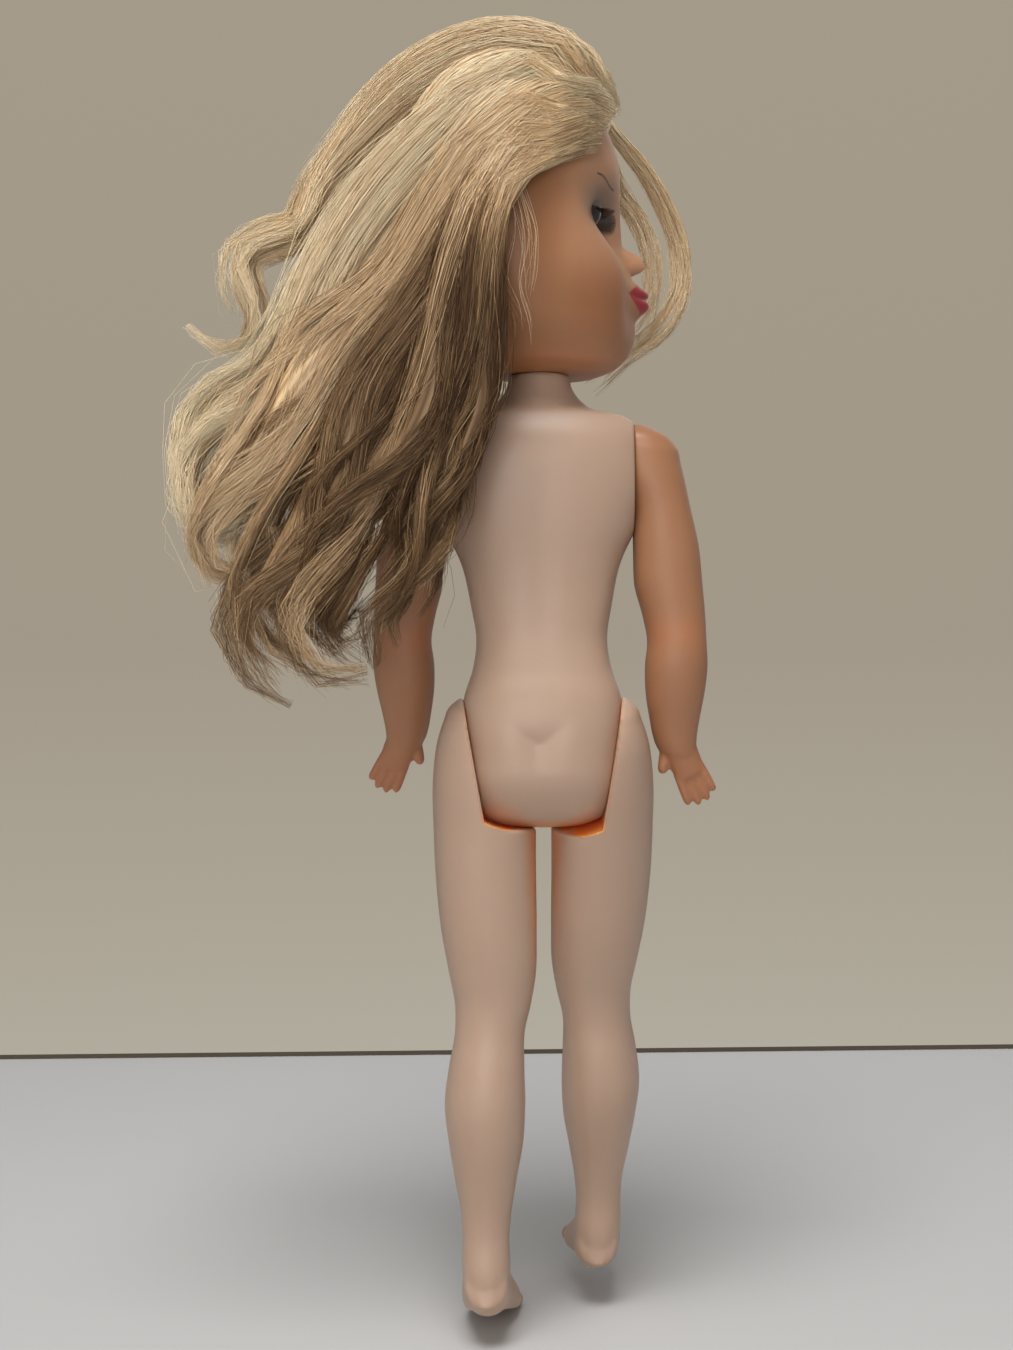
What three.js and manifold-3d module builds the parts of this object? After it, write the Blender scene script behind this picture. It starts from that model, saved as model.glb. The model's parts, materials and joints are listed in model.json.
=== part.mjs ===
// A jointed girl doll about 450 mm tall, in millimetres with +Z up.
// The doll faces -Y and its own left side is +X. It stands with the head turned to its right.
import * as THREE from "three";
import { mergeVertices } from "three/addons/utils/BufferGeometryUtils.js";
import Module from "manifold-3d";

const wasm = await Module();
wasm.setup();

// Driving dimensions: heights and lengths
const legLength = 205; // toes to hip axis
const trunkLength = 103; // hip axis to shoulder axis
const neckRise = 32; // shoulder axis to the underside of the head
const headHeight = 107;
const headWidth = 72;
const headDepth = 78;
const armLength = 96; // shoulder axis to wrist
const footLength = 50;

// Driving dimensions: widths
const shoulderWidth = 69.4; // across the armhole faces
const waistWidth = 46;
const thighWidth = 35.4;
const kneeWidth = 25;
const calfWidth = 28.4;
const ankleWidth = 16.6;
const upperArmWidth = 24;
const forearmWidth = 22;
const wristWidth = 15.2;
const legGap = 5.6; // between the inner thighs
const pelvisRadius = 22.6; // rounded pelvis, about the hip axis
const ledgeClearance = 1.8; // pelvis to the ledge on the leg
const hipFaceHalfWidth = 24; // midline to the hip face, at the hip axis

// Driving dimensions: walls, fits and joints
const wall = 2.2; // blow-moulded torso and legs
const headWall = 2.6;
const gap = 0.35; // clearance between pieces that touch or turn
const neckRadius = 10.4;
const neckHoleRadius = 9.2;
const neckKnobRadius = 11.4;
const armStemRadius = 6;
const armFlangeRadius = 8.4;
const hipStudRadius = 5.5;
const hipStudHeadRadius = 8.2;
const eyeballRadius = 8.5;
const irisRadius = 3.9;
const eyePinRadius = 0.8;
const eyeSetBack = 6.18; // eye centre behind the face's skin
const eyelashLength = 2.6;
const eyeOpeningHalfWidth = 6.6;
const eyeOpeningHalfHeight = 5.6;
const crownThickness = 9;
const crownSlack = 0.7; // the crown is faceted more coarsely than the scalp

// Driving angles, in degrees
const hipFaceTilt = 9.5;
const headTurn = 78; // to the doll's right
const rightLegSwing = 12; // forwards
const leftArmSwing = 12; // forwards
const toesDown = 18; // slope of the foot, moulded for a heeled shoe
const eyelashLift = 25;
const eyelashCurl = 14;

const hipHeight = legLength;
const shoulderHeight = hipHeight + trunkLength;
const headBase = shoulderHeight + neckRise;
const shoulderTop = shoulderHeight + 20.2;
const radians = THREE.MathUtils.degToRad;
const doll = new THREE.Group();

// Moulded materials
const plastic = (color, roughness) =>
  new THREE.MeshStandardMaterial({ color, roughness, metalness: 0 });
const palePlastic = plastic(0xf0d3c2, 0.42);
const vinyl = plastic(0xe3a67c, 0.5);
const hairFibre = plastic(0xc9b592, 0.38);
const eyeWhite = plastic(0xece6dc, 0.2);
const irisColour = plastic(0x4a3d36, 0.15);
const lashFibre = plastic(0x1d1512, 0.6);
const housingPlastic = plastic(0xd8d2c6, 0.5);
const steel = new THREE.MeshStandardMaterial({ color: 0x9a9a9c, roughness: 0.35, metalness: 1 });

// Mesh helpers
function isInsideOut(points, faces) {
  let volume = 0;
  const normal = new THREE.Vector3();
  for (const [a, b, c] of faces) {
    volume += points[a].dot(normal.crossVectors(points[b], points[c]));
  }
  return volume < 0;
}

// A closed skin over rings that all have the same number of points, with a fan over each end
function loft(rings) {
  const sides = rings[0].length;
  const points = rings.flat();
  const faces = [];
  for (let ring = 0; ring + 1 < rings.length; ring++) {
    for (let side = 0; side < sides; side++) {
      const here = ring * sides + side;
      const next = ring * sides + ((side + 1) % sides);
      faces.push([here, next, next + sides], [here, next + sides, here + sides]);
    }
  }
  const addEnd = (ring, first, flipped) => {
    const centre = ring.reduce((sum, p) => sum.add(p), new THREE.Vector3()).divideScalar(sides);
    points.push(centre);
    for (let side = 0; side < sides; side++) {
      const pair = [first + side, first + ((side + 1) % sides)];
      if (flipped) pair.reverse();
      faces.push([pair[0], pair[1], points.length - 1]);
    }
  };
  addEnd(rings[0], 0, true);
  addEnd(rings[rings.length - 1], (rings.length - 1) * sides, false);
  if (isInsideOut(points, faces)) faces.forEach((face) => face.reverse());
  const geometry = new THREE.BufferGeometry().setFromPoints(points);
  geometry.setIndex(faces.flat());
  return geometry;
}

function solid(geometry) {
  const bare = geometry.clone();
  bare.deleteAttribute("normal");
  bare.deleteAttribute("uv");
  const merged = mergeVertices(bare, 1e-4);
  const vertProperties = new Float32Array(merged.attributes.position.array);
  const triVerts = new Uint32Array(merged.index.array);
  return new wasm.Manifold(new wasm.Mesh({ numProp: 3, vertProperties, triVerts }));
}

function geometryOf(body) {
  const result = body.getMesh();
  const geometry = new THREE.BufferGeometry();
  geometry.setAttribute("position", new THREE.BufferAttribute(result.vertProperties, 3));
  geometry.setIndex(new THREE.BufferAttribute(result.triVerts, 1));
  return geometry;
}

// The same piece for the doll's right side, with its faces turned back outwards
function mirrored(geometry) {
  const copy = geometry.clone().scale(-1, 1, 1);
  const index = copy.index.array.slice();
  for (let i = 0; i < index.length; i += 3) [index[i], index[i + 1]] = [index[i + 1], index[i]];
  copy.setIndex(new THREE.BufferAttribute(index, 1));
  return copy;
}

function addPiece(parent, name, geometry, material) {
  const mesh = new THREE.Mesh(geometry, material);
  mesh.name = name;
  parent.add(mesh);
  return mesh;
}

// Rows of numbers, the first one rising, joined by a smooth spline and cut into even steps
function smoothRows(rows, steps) {
  const stride = rows[0].length;
  const spline = new THREE.CubicInterpolant(
    rows.map((row) => row[0]),
    rows.flat(),
    stride,
    new Float32Array(stride),
  );
  const result = [];
  for (let i = 0; i + 1 < rows.length; i++) {
    for (let step = 0; step < steps; step++) {
      const at = THREE.MathUtils.lerp(rows[i][0], rows[i + 1][0], step / steps);
      result.push(Array.from(spline.evaluate(at)));
    }
  }
  result.push(rows[rows.length - 1]);
  return result;
}

const roundPower = (value, power) => Math.sign(value) * Math.abs(value) ** (2 / power);

// A level ring: half an oval in front of its centre and half behind it. A higher power squares it
function levelRing(row, sides, crowding = 0) {
  const [height, centreX, centreY, halfWidth, front, back, backPower, frontPower = backPower] = row;
  const ring = [];
  for (let side = 0; side < sides; side++) {
    const even = (side / sides) * 2 * Math.PI;
    const angle = even - crowding * Math.cos(even);
    const inFront = Math.sin(angle) < 0;
    const power = inFront ? frontPower : backPower;
    const x = centreX + halfWidth * roundPower(Math.cos(angle), power);
    const y = centreY + (inFront ? front : back) * roundPower(Math.sin(angle), power);
    ring.push(new THREE.Vector3(x, y, height));
  }
  return ring;
}

function upright(rows, sides, steps = 1) {
  return loft(smoothRows(rows, steps).map((row) => levelRing(row, sides)));
}

// An oval carried along straight stretches: each row is a place and the oval's two half sizes
function carriedOval(rows, across, through, sides) {
  const rings = rows.map(([place, halfAcross, halfThrough]) => {
    const ring = [];
    for (let side = 0; side < sides; side++) {
      const angle = (side / sides) * 2 * Math.PI;
      const point = place.clone();
      point.addScaledVector(across, halfAcross * Math.cos(angle));
      point.addScaledVector(through, halfThrough * Math.sin(angle));
      ring.push(point);
    }
    return ring;
  });
  return loft(rings);
}

// A body turned about an axis: the profile gives radius and distance along the axis
function turned(profile, axis, origin, sides) {
  const outline = profile.map(([radius, along]) => new THREE.Vector2(radius, along));
  const geometry = new THREE.LatheGeometry(outline, sides);
  const lean = new THREE.Quaternion().setFromUnitVectors(new THREE.Vector3(0, 1, 0), axis);
  return geometry.applyQuaternion(lean).translate(origin.x, origin.y, origin.z);
}

function rod(radius, start, end, axis, origin, sides = 16) {
  return turned([[0, start], [radius, start], [radius, end], [0, end]], axis, origin, sides);
}

// A large block on one side of a plane, for trimming
function halfSpace(point, outward, size = 700) {
  const block = new THREE.BoxGeometry(size, size, size).translate(0, 0, size / 2);
  const lean = new THREE.Quaternion().setFromUnitVectors(new THREE.Vector3(0, 0, 1), outward);
  return solid(block.applyQuaternion(lean).translate(point.x, point.y, point.z));
}

// Joint axes on the doll's left side
const hipOutward = new THREE.Vector3(Math.cos(radians(hipFaceTilt)), 0, -Math.sin(radians(hipFaceTilt)));
const hipCentre = new THREE.Vector3(hipFaceHalfWidth, 0, hipHeight);
const shoulderOutward = new THREE.Vector3(1, 0, 0);
const shoulderCentre = new THREE.Vector3(shoulderWidth / 2, 0, shoulderHeight);
const otherSide = (v) => new THREE.Vector3(-v.x, v.y, v.z);
const moved = (point, direction, distance) => point.clone().addScaledVector(direction, distance);

// Torso: a hollow shell, trimmed flat at the armholes and hips, that flares up into the neck
const boxy = 2.5;
const roundish = 2;
const neckGrooveBottom = headBase - gap;

function torsoRows() {
  const hip = hipHeight;
  const top = shoulderTop;
  const waist = waistWidth / 2;
  const chest = shoulderWidth / 2 + 2.8;
  const trunk = (share) => hip + share * trunkLength;
  return [
    [hip - pelvisRadius, 13, 5, 5, boxy],
    [hip - pelvisRadius * 0.9, 21, 10.2, 10.2, boxy],
    [hip - pelvisRadius * 0.62, 25, 17.6, 17.8, boxy],
    [hip - pelvisRadius * 0.3, 27, 21.4, 21.8, boxy],
    [hip, 28, 22.2, 22.6, boxy],
    [trunk(0.12), 28.5, 21.6, 22.6, boxy],
    [trunk(0.22), 27.4, 20.8, 20.8, boxy],
    [trunk(0.31), waist + 1.4, 19.4, 17.8, boxy],
    [trunk(0.4), waist, 18.6, 16, boxy],
    [trunk(0.53), waist + 1.8, 19.2, 16, boxy],
    [trunk(0.67), waist + 5, 20.6, 17.4, boxy],
    [trunk(0.8), chest - 3.4, 21.6, 19.4, boxy],
    [trunk(0.9), chest, 21.6, 20.6, boxy],
    [trunk(1.04), chest, 20, 20.8, boxy],
    [top - 7, chest - 1.6, 17, 19.4, boxy],
    [top - 2.6, chest - 4, 14.4, 17.4, boxy],
    [top - 0.4, chest - 9, 12.8, 16, boxy],
    [top + 1.2, chest - 16, 12, 14.8, boxy],
    [top + 3, neckRadius + 4.8, 11.4, 13.4, roundish],
    [top + 6.4, neckRadius + 1.8, neckRadius + 0.4, neckRadius + 1.2, roundish],
    [neckGrooveBottom, neckRadius, neckRadius, neckRadius, roundish],
  ].map(([height, halfWidth, front, back, power]) => [height, 0, 0, halfWidth, front, back, power]);
}

// The hollow stays one wall inside the skin and ends under the shoulders
function torsoHollowRows() {
  const rows = torsoRows();
  const lowest = rows[0][0];
  const highest = shoulderTop - 2.6;
  return rows
    .filter(([height]) => height <= highest)
    .map(([height, x, y, halfWidth, front, back, power]) => [
      THREE.MathUtils.mapLinear(height, lowest, highest, lowest + wall, highest - wall),
      x,
      y,
      halfWidth - wall,
      front - wall,
      back - wall,
      power,
    ]);
}

// The head snaps over a knob, above a groove that its underside turns in
function neckKnob() {
  const groove = neckHoleRadius - gap;
  const grooveTop = headBase + headWall + gap;
  const profile = [
    [0, neckGrooveBottom - 2],
    [groove, neckGrooveBottom - 2],
    [groove, grooveTop],
    [neckKnobRadius, grooveTop],
    [neckKnobRadius, grooveTop + 2],
    [neckKnobRadius - 3, grooveTop + 5],
    [0, grooveTop + 6.4],
  ];
  return solid(turned(profile, new THREE.Vector3(0, 0, 1), new THREE.Vector3(), 24));
}

function torso() {
  let body = solid(upright(torsoRows(), 26)).add(neckKnob());
  let hollow = solid(upright(torsoHollowRows(), 14));
  const waist = new THREE.Vector3(0, 0, hipHeight + 0.4 * trunkLength);
  const belowWaist = halfSpace(waist, new THREE.Vector3(0, 0, -1));
  for (const side of [(v) => v.clone(), otherSide]) {
    const hip = side(hipOutward);
    const shoulder = side(shoulderOutward);
    body = body.subtract(halfSpace(side(hipCentre), hip).intersect(belowWaist));
    body = body.subtract(halfSpace(side(shoulderCentre), shoulder));
    hollow = hollow.subtract(halfSpace(moved(side(hipCentre), hip, -wall), hip));
    hollow = hollow.subtract(halfSpace(moved(side(shoulderCentre), shoulder, -wall), shoulder));
  }
  body = body.subtract(hollow);
  for (const side of [(v) => v.clone(), otherSide]) {
    const through = 3 * wall;
    const armHole = rod(armStemRadius + gap, -through, through, side(shoulderOutward), side(shoulderCentre));
    const hipHole = rod(hipStudRadius + gap, -through, through, side(hipOutward), side(hipCentre));
    body = body.subtract(solid(armHole)).subtract(solid(hipHole));
  }
  return geometryOf(body);
}

// Legs: the upper part is a lens beside the pelvis, above a ledge that clears the pelvis
const toeReach = footLength - 13; // from the ankle
const heelPlace = 6; // behind the ankle, where the foot tips
const heelRise = (toeReach + heelPlace) * Math.sin(radians(toesDown));

function legRows(inset) {
  const up = (share) => THREE.MathUtils.lerp(heelRise - 4.2, hipHeight, share);
  const inner = legGap / 2;
  const thigh = thighWidth / 2;
  const knee = kneeWidth / 2;
  const calf = calfWidth / 2;
  const ankle = ankleWidth / 2;
  const lens = pelvisRadius - 0.6;
  const footCentre = inner + calf + 4.8;
  const rows = [
    [up(0.04), footCentre, ankle - 0.4, 7, 10.6],
    [up(0.09), footCentre, ankle + 0.2, 9, 11],
    [up(0.148), footCentre, ankle, 9, 9.4],
    [up(0.19), footCentre - 0.2, ankle + 0.6, 9, 9.8],
    [up(0.25), footCentre - 0.2, ankle + 2.6, 9.6, 12],
    [up(0.32), footCentre - 0.4, calf - 1, 10.2, 15.2],
    [up(0.385), footCentre - 0.2, calf, 11, 16.6],
    [up(0.45), footCentre - 0.9, calf - 0.9, 12, 15.2],
    [up(0.515), footCentre - 2.2, knee - 0.2, 13.6, 12.4],
    [up(0.56), inner + thigh - 2, knee + 0.8, 14.4, 12.2],
    [up(0.62), inner + thigh - 2, thigh - 2.4, 15.4, 13.8],
    [up(0.69), inner + thigh - 1, thigh - 1, 16.6, 15.8],
    [up(0.8), inner + thigh, thigh, 18.4, 17.8],
    [up(0.88), inner + thigh + 0.2, thigh + 0.3, 19.6, 19],
    [up(0.95), inner + thigh + 0.3, thigh + 0.4, 20.4, 20.4],
    [up(1), inner + thigh, thigh, 20.6, 20.8],
    [hipHeight + lens * 0.33, inner + thigh + 0.6, thigh - 1.8, 19.6, 19.8],
    [hipHeight + lens * 0.64, inner + thigh + 2, thigh - 5.4, 16, 16.2],
    [hipHeight + lens * 0.88, inner + thigh + 4.6, thigh - 10.4, 9.6, 9.6],
    [hipHeight + lens, inner + thigh + 6, thigh - 15, 2, 2],
  ];
  return rows.map(([height, centre, halfWidth, front, back]) => [
    height,
    centre,
    0,
    halfWidth - inset,
    front - inset,
    back - inset,
    roundish + 0.1,
  ]);
}

// A foot on a flat sole along -Y, tipped toes down about the heel. Each row gives distance from the
// ankle, half width, height, drift, and how far down its half height the oval is cut flat
function foot() {
  const inner = legGap / 2 + calfWidth / 2 + 4.8;
  const rows = [
    [-toeReach, 3.6, 4, -2, 0.5],
    [-toeReach + 1.8, 7.4, 6.6, -2, 0.5],
    [-toeReach + 6, 9.8, 9, -2, 0.5],
    [-toeReach + 13, 10.6, 12, -1.6, 0.5],
    [-toeReach + 21, 9.9, 16, -0.8, 0.5],
    [-toeReach + 30, 8.8, 20, 0, 0.6],
    [-toeReach + 38, 8.2, 22, 0, 0.75],
    [-toeReach + 45, 7.8, 19, 0, 0.9],
    [-toeReach + 48.6, 5.8, 14, 0, 0.9],
    [-toeReach + footLength, 2.4, 9, 0, 0.9],
  ];
  const sides = 14;
  const rings = rows.map(([along, halfWidth, height, drift, depth]) => {
    const ring = [];
    for (let side = 0; side < sides; side++) {
      const angle = (side / sides) * 2 * Math.PI;
      const lift = Math.max(Math.sin(angle), -depth);
      const x = inner + drift + halfWidth * Math.cos(angle);
      ring.push(new THREE.Vector3(x, along - heelPlace, (height * (lift + depth)) / (1 + depth)));
    }
    return ring;
  });
  return solid(loft(rings).rotateX(radians(toesDown)).translate(0, heelPlace, heelRise));
}

function leg() {
  const faceStart = moved(hipCentre, hipOutward, gap);
  const beyondFace = hipOutward.clone().negate();
  const ledge = new THREE.Vector3(0, 0, hipHeight - pelvisRadius - ledgeClearance);
  const up = new THREE.Vector3(0, 0, 1);
  const pelvisRoom = halfSpace(faceStart, beyondFace).intersect(halfSpace(ledge, up));
  const innerFace = halfSpace(moved(faceStart, hipOutward, wall), beyondFace);
  const underLedge = halfSpace(moved(ledge, up, -wall), up);
  const hollowRows = legRows(wall).slice(3, -2);
  const hollow = solid(upright(hollowRows, 9)).subtract(innerFace.intersect(underLedge));
  const socket = rod(hipStudRadius + gap, -wall, 3 * wall, hipOutward, faceStart);
  const sole = halfSpace(new THREE.Vector3(), new THREE.Vector3(0, 0, -1));
  const body = solid(upright(legRows(0), 18))
    .add(foot())
    .subtract(sole)
    .subtract(pelvisRoom)
    .subtract(hollow)
    .subtract(solid(socket));
  return geometryOf(body);
}

// Hip plug: a stud pressed into the leg, with a mushroom head inside the torso wall
function hipPlug() {
  const inside = -wall - gap;
  const headThickness = 2.6;
  const seat = gap + 2.6 * wall;
  const profile = [
    [0, inside - headThickness - 1],
    [hipStudHeadRadius - 2.4, inside - headThickness - 1],
    [hipStudHeadRadius, inside - headThickness + 0.8],
    [hipStudHeadRadius, inside],
    [hipStudRadius, inside],
    [hipStudRadius, seat],
    [0, seat],
  ];
  return turned(profile, hipOutward, hipCentre, 24);
}

// Arms: soft vinyl, with the flange that snaps into the armhole moulded on
function armRows() {
  const down = (share) => shoulderHeight - share * armLength;
  const face = shoulderWidth / 2;
  const upper = upperArmWidth / 2;
  const lower = forearmWidth / 2;
  const wrist = wristWidth / 2;
  return [
    [down(1.04), face + 14.2, wrist - 0.4, -3.4, 6.4],
    [down(1), face + 14, wrist, -3, 6.6],
    [down(0.93), face + 14.2, wrist + 1, -2.4, 7.8],
    [down(0.83), face + 14.4, lower - 0.6, -1.4, 9.8],
    [down(0.73), face + 14.8, lower, -0.4, 10.8],
    [down(0.64), face + 15, lower - 0.6, 0.4, 10.4],
    [down(0.56), face + 14.2, lower - 0.1, 0.4, 10.6],
    [down(0.43), face + 12.2, upper, 0, 11.6],
    [down(0.29), face + 11.3, upper - 0.3, 0, 11.8],
    [down(0.16), face + 9.8, upper - 1.4, 0, 11.6],
    [down(0), face + 5, upper + 0.2, 0, 11.6],
    [down(-0.07), face + 3, upper + 0.4, 0, 10.4],
    [down(-0.12), face + 0.6, upper - 2.2, 0, 7.8],
    [down(-0.15), face - 1, upper - 7, 0, 3],
  ].map(([height, centre, halfWidth, centreY, depth]) => [
    height,
    centre,
    centreY,
    halfWidth,
    depth,
    depth,
    roundish + 0.1,
  ]);
}

// Hand: a flat palm turned a little outwards, four fingers and a thumb
function hand() {
  const wristPlace = new THREE.Vector3(shoulderWidth / 2 + 14, -3, shoulderHeight - armLength);
  const along = new THREE.Vector3(0.42, -0.1, -0.9).normalize();
  const through = new THREE.Vector3(0.1, 0.99, -0.08).normalize();
  const across = new THREE.Vector3().crossVectors(through, along).normalize();
  const palmLength = 12.4;
  const palmRows = [
    [moved(wristPlace, along, -3), 6.6, 5.6],
    [moved(wristPlace, along, 2), 6.8, 5.2],
    [moved(wristPlace, along, palmLength * 0.6), 6.6, 4],
    [moved(wristPlace, along, palmLength), 6, 2.8],
    [moved(wristPlace, along, palmLength + 1.6), 4.6, 1.6],
  ];
  let body = solid(carriedOval(palmRows, across, through, 12));
  const digit = (root, direction, length, radius) => {
    const rows = [
      [root, radius, radius],
      [moved(root, direction, length * 0.5), radius * 0.96, radius * 0.96],
      [moved(root, direction, length * 0.86), radius * 0.8, radius * 0.8],
      [moved(root, direction, length), radius * 0.36, radius * 0.36],
    ];
    return solid(carriedOval(rows, across, through, 6));
  };
  const fingerLengths = [10.4, 12.4, 12.6, 11];
  fingerLengths.forEach((length, finger) => {
    const place = (finger - 1.5) * 2.9;
    const root = moved(moved(wristPlace, along, palmLength - 2), across, place);
    const direction = along.clone().addScaledVector(across, (finger - 1.5) * 0.13).normalize();
    body = body.add(digit(root, direction, length, 1.75));
  });
  const thumbSide = across.clone().multiplyScalar(across.x > 0 ? -1 : 1);
  const thumbRoot = moved(moved(wristPlace, along, 1.6), thumbSide, 3.6);
  const thumbDirection = along.clone().addScaledVector(thumbSide, 0.75).normalize();
  return body.add(digit(thumbRoot, thumbDirection, 9, 2.2));
}

function arm() {
  const face = moved(shoulderCentre, shoulderOutward, gap);
  const inside = -wall - gap;
  const flange = [
    [0, inside - 2.6],
    [armFlangeRadius - 1.6, inside - 2.6],
    [armFlangeRadius, inside - 1.2],
    [armFlangeRadius, inside],
    [armStemRadius, inside],
    [armStemRadius, 3 * gap],
    [0, 3 * gap],
  ];
  const stem = solid(turned(flange, shoulderOutward, shoulderCentre, 24));
  const body = solid(upright(armRows(), 14))
    .add(hand())
    .subtract(halfSpace(face, shoulderOutward.clone().negate()))
    .add(stem);
  return geometryOf(body);
}

// Head: built facing -Y, in a group that turns it. Bumps raise or sink the face
const headPower = roundish + 0.15;
const facePower = roundish - 0.1;
const headFront = 0.41 * headDepth;
const headBack = 0.59 * headDepth;
const faceFront = headFront - 2.8; // at eye level
const eyeHeight = headBase + 0.514 * headHeight;
const eyeSpacing = 0.425 * headWidth;

// The eyes are set back from the face's skin, measured at the outer edge of their housings
const eyeHousingRadius = eyeballRadius + 2;
const housingEdge = (eyeSpacing / 2 + eyeHousingRadius) / (headWidth / 2);
const skinShare = (1 - housingEdge ** facePower) ** (1 / facePower);
const skinAtHousing = (headBack - faceFront) / 2 - (skinShare * (headBack + faceFront)) / 2;
const eyeCentre = new THREE.Vector3(eyeSpacing / 2, skinAtHousing + eyeSetBack, eyeHeight);

const faceBumps = [
  { x: 0, height: 0.36, reachX: 3.4, reachZ: 3.6, rise: 7.4 }, // nose tip
  { x: 0, height: 0.46, reachX: 3.6, reachZ: 8, rise: 2 }, // nose bridge
  { x: 0, height: 0.25, reachX: 8.5, reachZ: 7, rise: 5.5 }, // around the mouth
  { x: 0, height: 0.262, reachX: 5, reachZ: 3.4, rise: 4.6 }, // lips
  { x: 0, height: 0.115, reachX: 8, reachZ: 6, rise: 3.2 }, // chin
  { x: 18, height: 0.26, reachX: 9, reachZ: 10, rise: 3.5 }, // cheeks
  { x: eyeSpacing / 2 + 2, height: 0.514, reachX: 8, reachZ: 6.4, rise: -1.6 }, // eye hollows
];

function faceRise(x, z) {
  let rise = 0;
  for (const bump of faceBumps) {
    const places = bump.x === 0 ? [0] : [-bump.x, bump.x];
    for (const place of places) {
      const dx = (x - place) / bump.reachX;
      const dz = (z - headBase - bump.height * headHeight) / bump.reachZ;
      rise += bump.rise * Math.exp(-0.5 * (dx * dx + dz * dz));
    }
  }
  return rise;
}

function headRows(inset) {
  const half = headWidth / 2;
  const face = faceFront;
  const back = headBack;
  const rows = [
    [0, neckKnobRadius + 4.4, 20.4, neckKnobRadius + 4.4],
    [0.018, 22.4, 26, 20.6],
    [0.09, half - 7.4, face + 2, 28],
    [0.18, half - 3.4, face + 3, 36],
    [0.29, half - 0.8, face + 2.2, back - 4.8],
    [0.41, half, face + 0.6, back - 1.4],
    [0.55, half, face, back],
    [0.69, half - 1.6, face - 0.4, back - 1],
    [0.81, half - 5.6, face - 5.2, back - 5],
    [0.9, half - 12, face - 12.2, back - 12],
    [0.965, half - 21, face - 20.6, back - 22],
    [1, half - 31.4, face - 29.2, back - 34],
  ];
  const lowest = headBase + inset;
  const highest = headBase + headHeight - inset;
  return rows.map(([share, halfWidth, frontDepth, backDepth]) => {
    const middle = (backDepth - frontDepth) / 2;
    const depth = (backDepth + frontDepth) / 2;
    const least = 1.5;
    return [
      THREE.MathUtils.lerp(lowest, highest, share),
      0,
      middle,
      Math.max(halfWidth - inset, least),
      Math.max(depth - inset, least),
      Math.max(depth - inset, least),
      headPower,
      facePower,
    ];
  });
}

// The head's skin moved outwards (or inwards, for a negative distance), with or without its face
function headSkin(outwards, sides, steps, withFace) {
  const crowding = withFace ? 0.5 : 0;
  const rings = smoothRows(headRows(-outwards), steps).map((row) => {
    const ring = levelRing(row, sides, crowding);
    for (const point of ring) {
      if (withFace && point.y < row[2]) point.y -= faceRise(point.x, point.z);
    }
    return ring;
  });
  return loft(rings);
}

const sideways = new THREE.Vector3(1, 0, 0);
const backwards = new THREE.Vector3(0, 1, 0);

// An opening for an eye, a rounded oval carried through the front of the face
function eyeOpening(centre) {
  const sides = 20;
  const rings = [-40, 0].map((along) => {
    const ring = [];
    for (let side = 0; side < sides; side++) {
      const angle = (side / sides) * 2 * Math.PI;
      const x = centre.x + eyeOpeningHalfWidth * roundPower(Math.cos(angle), 3);
      const z = centre.z + eyeOpeningHalfHeight * roundPower(Math.sin(angle), 3);
      ring.push(new THREE.Vector3(x, centre.y + along, z));
    }
    return ring;
  });
  return solid(loft(rings));
}

function eyeHousing(centre, clearance = 0) {
  const innerRadius = eyeballRadius + 0.7;
  const outerRadius = eyeHousingRadius + clearance;
  const front = -1.5 - clearance;
  const back = 4.4 + clearance;
  const profile = [
    [innerRadius, front],
    [outerRadius, front],
    [outerRadius, back],
    [innerRadius, back],
    [innerRadius, front],
  ];
  return turned(profile, backwards, centre, 18);
}

function pinBore(centre) {
  const reach = eyeballRadius + 6;
  return solid(rod(eyePinRadius + gap, -reach, reach, sideways, centre, 10));
}

function head() {
  const up = new THREE.Vector3(0, 0, 1);
  const neckHole = rod(neckHoleRadius, headBase - 5, headBase + 3 * headWall, up, new THREE.Vector3(), 24);
  let body = solid(headSkin(0, 34, 2, true))
    .subtract(solid(headSkin(-headWall, 16, 1, false)))
    .subtract(solid(neckHole));
  for (const centre of [eyeCentre, otherSide(eyeCentre)]) {
    const ballRoom = new THREE.SphereGeometry(eyeballRadius + gap, 16, 12).translate(...centre.toArray());
    body = body
      .subtract(eyeOpening(centre))
      .subtract(solid(ballRoom))
      .subtract(solid(eyeHousing(centre, gap)))
      .subtract(solid(rod(eyeballRadius + 1, -1, 9, backwards, centre, 24)));
  }
  return geometryOf(body);
}

// Sleep eye: a ball on a pin, with an iris cap in front and a weight behind
const eyeballBack = 4;
const irisSeat = Math.sqrt(eyeballRadius ** 2 - irisRadius ** 2);

function ballArc(fromRadius, fromAlong, toAlong, steps) {
  const start = Math.atan2(fromRadius, fromAlong);
  const end = Math.acos(toAlong / eyeballRadius);
  const points = [];
  for (let step = 0; step <= steps; step++) {
    const angle = THREE.MathUtils.lerp(start, end, step / steps);
    points.push([eyeballRadius * Math.sin(angle), eyeballRadius * Math.cos(angle)]);
  }
  return points;
}

function eyeball(centre) {
  const profile = [[0, -irisSeat], ...ballArc(irisRadius, -irisSeat, eyeballBack, 7), [0, eyeballBack]];
  return geometryOf(solid(turned(profile, backwards, centre, 16)).subtract(pinBore(centre)));
}

function iris(centre) {
  const seat = -irisSeat - gap;
  const rim = Math.sqrt(eyeballRadius ** 2 - seat ** 2);
  const arc = ballArc(rim, seat, -eyeballRadius, 3).reverse();
  arc[0][0] = 0;
  return turned([...arc, [0, seat]], backwards, centre, 14);
}

function eyePin(centre) {
  const reach = eyeballRadius + 1.8;
  return rod(eyePinRadius, -reach, reach, sideways, centre, 8);
}

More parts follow.
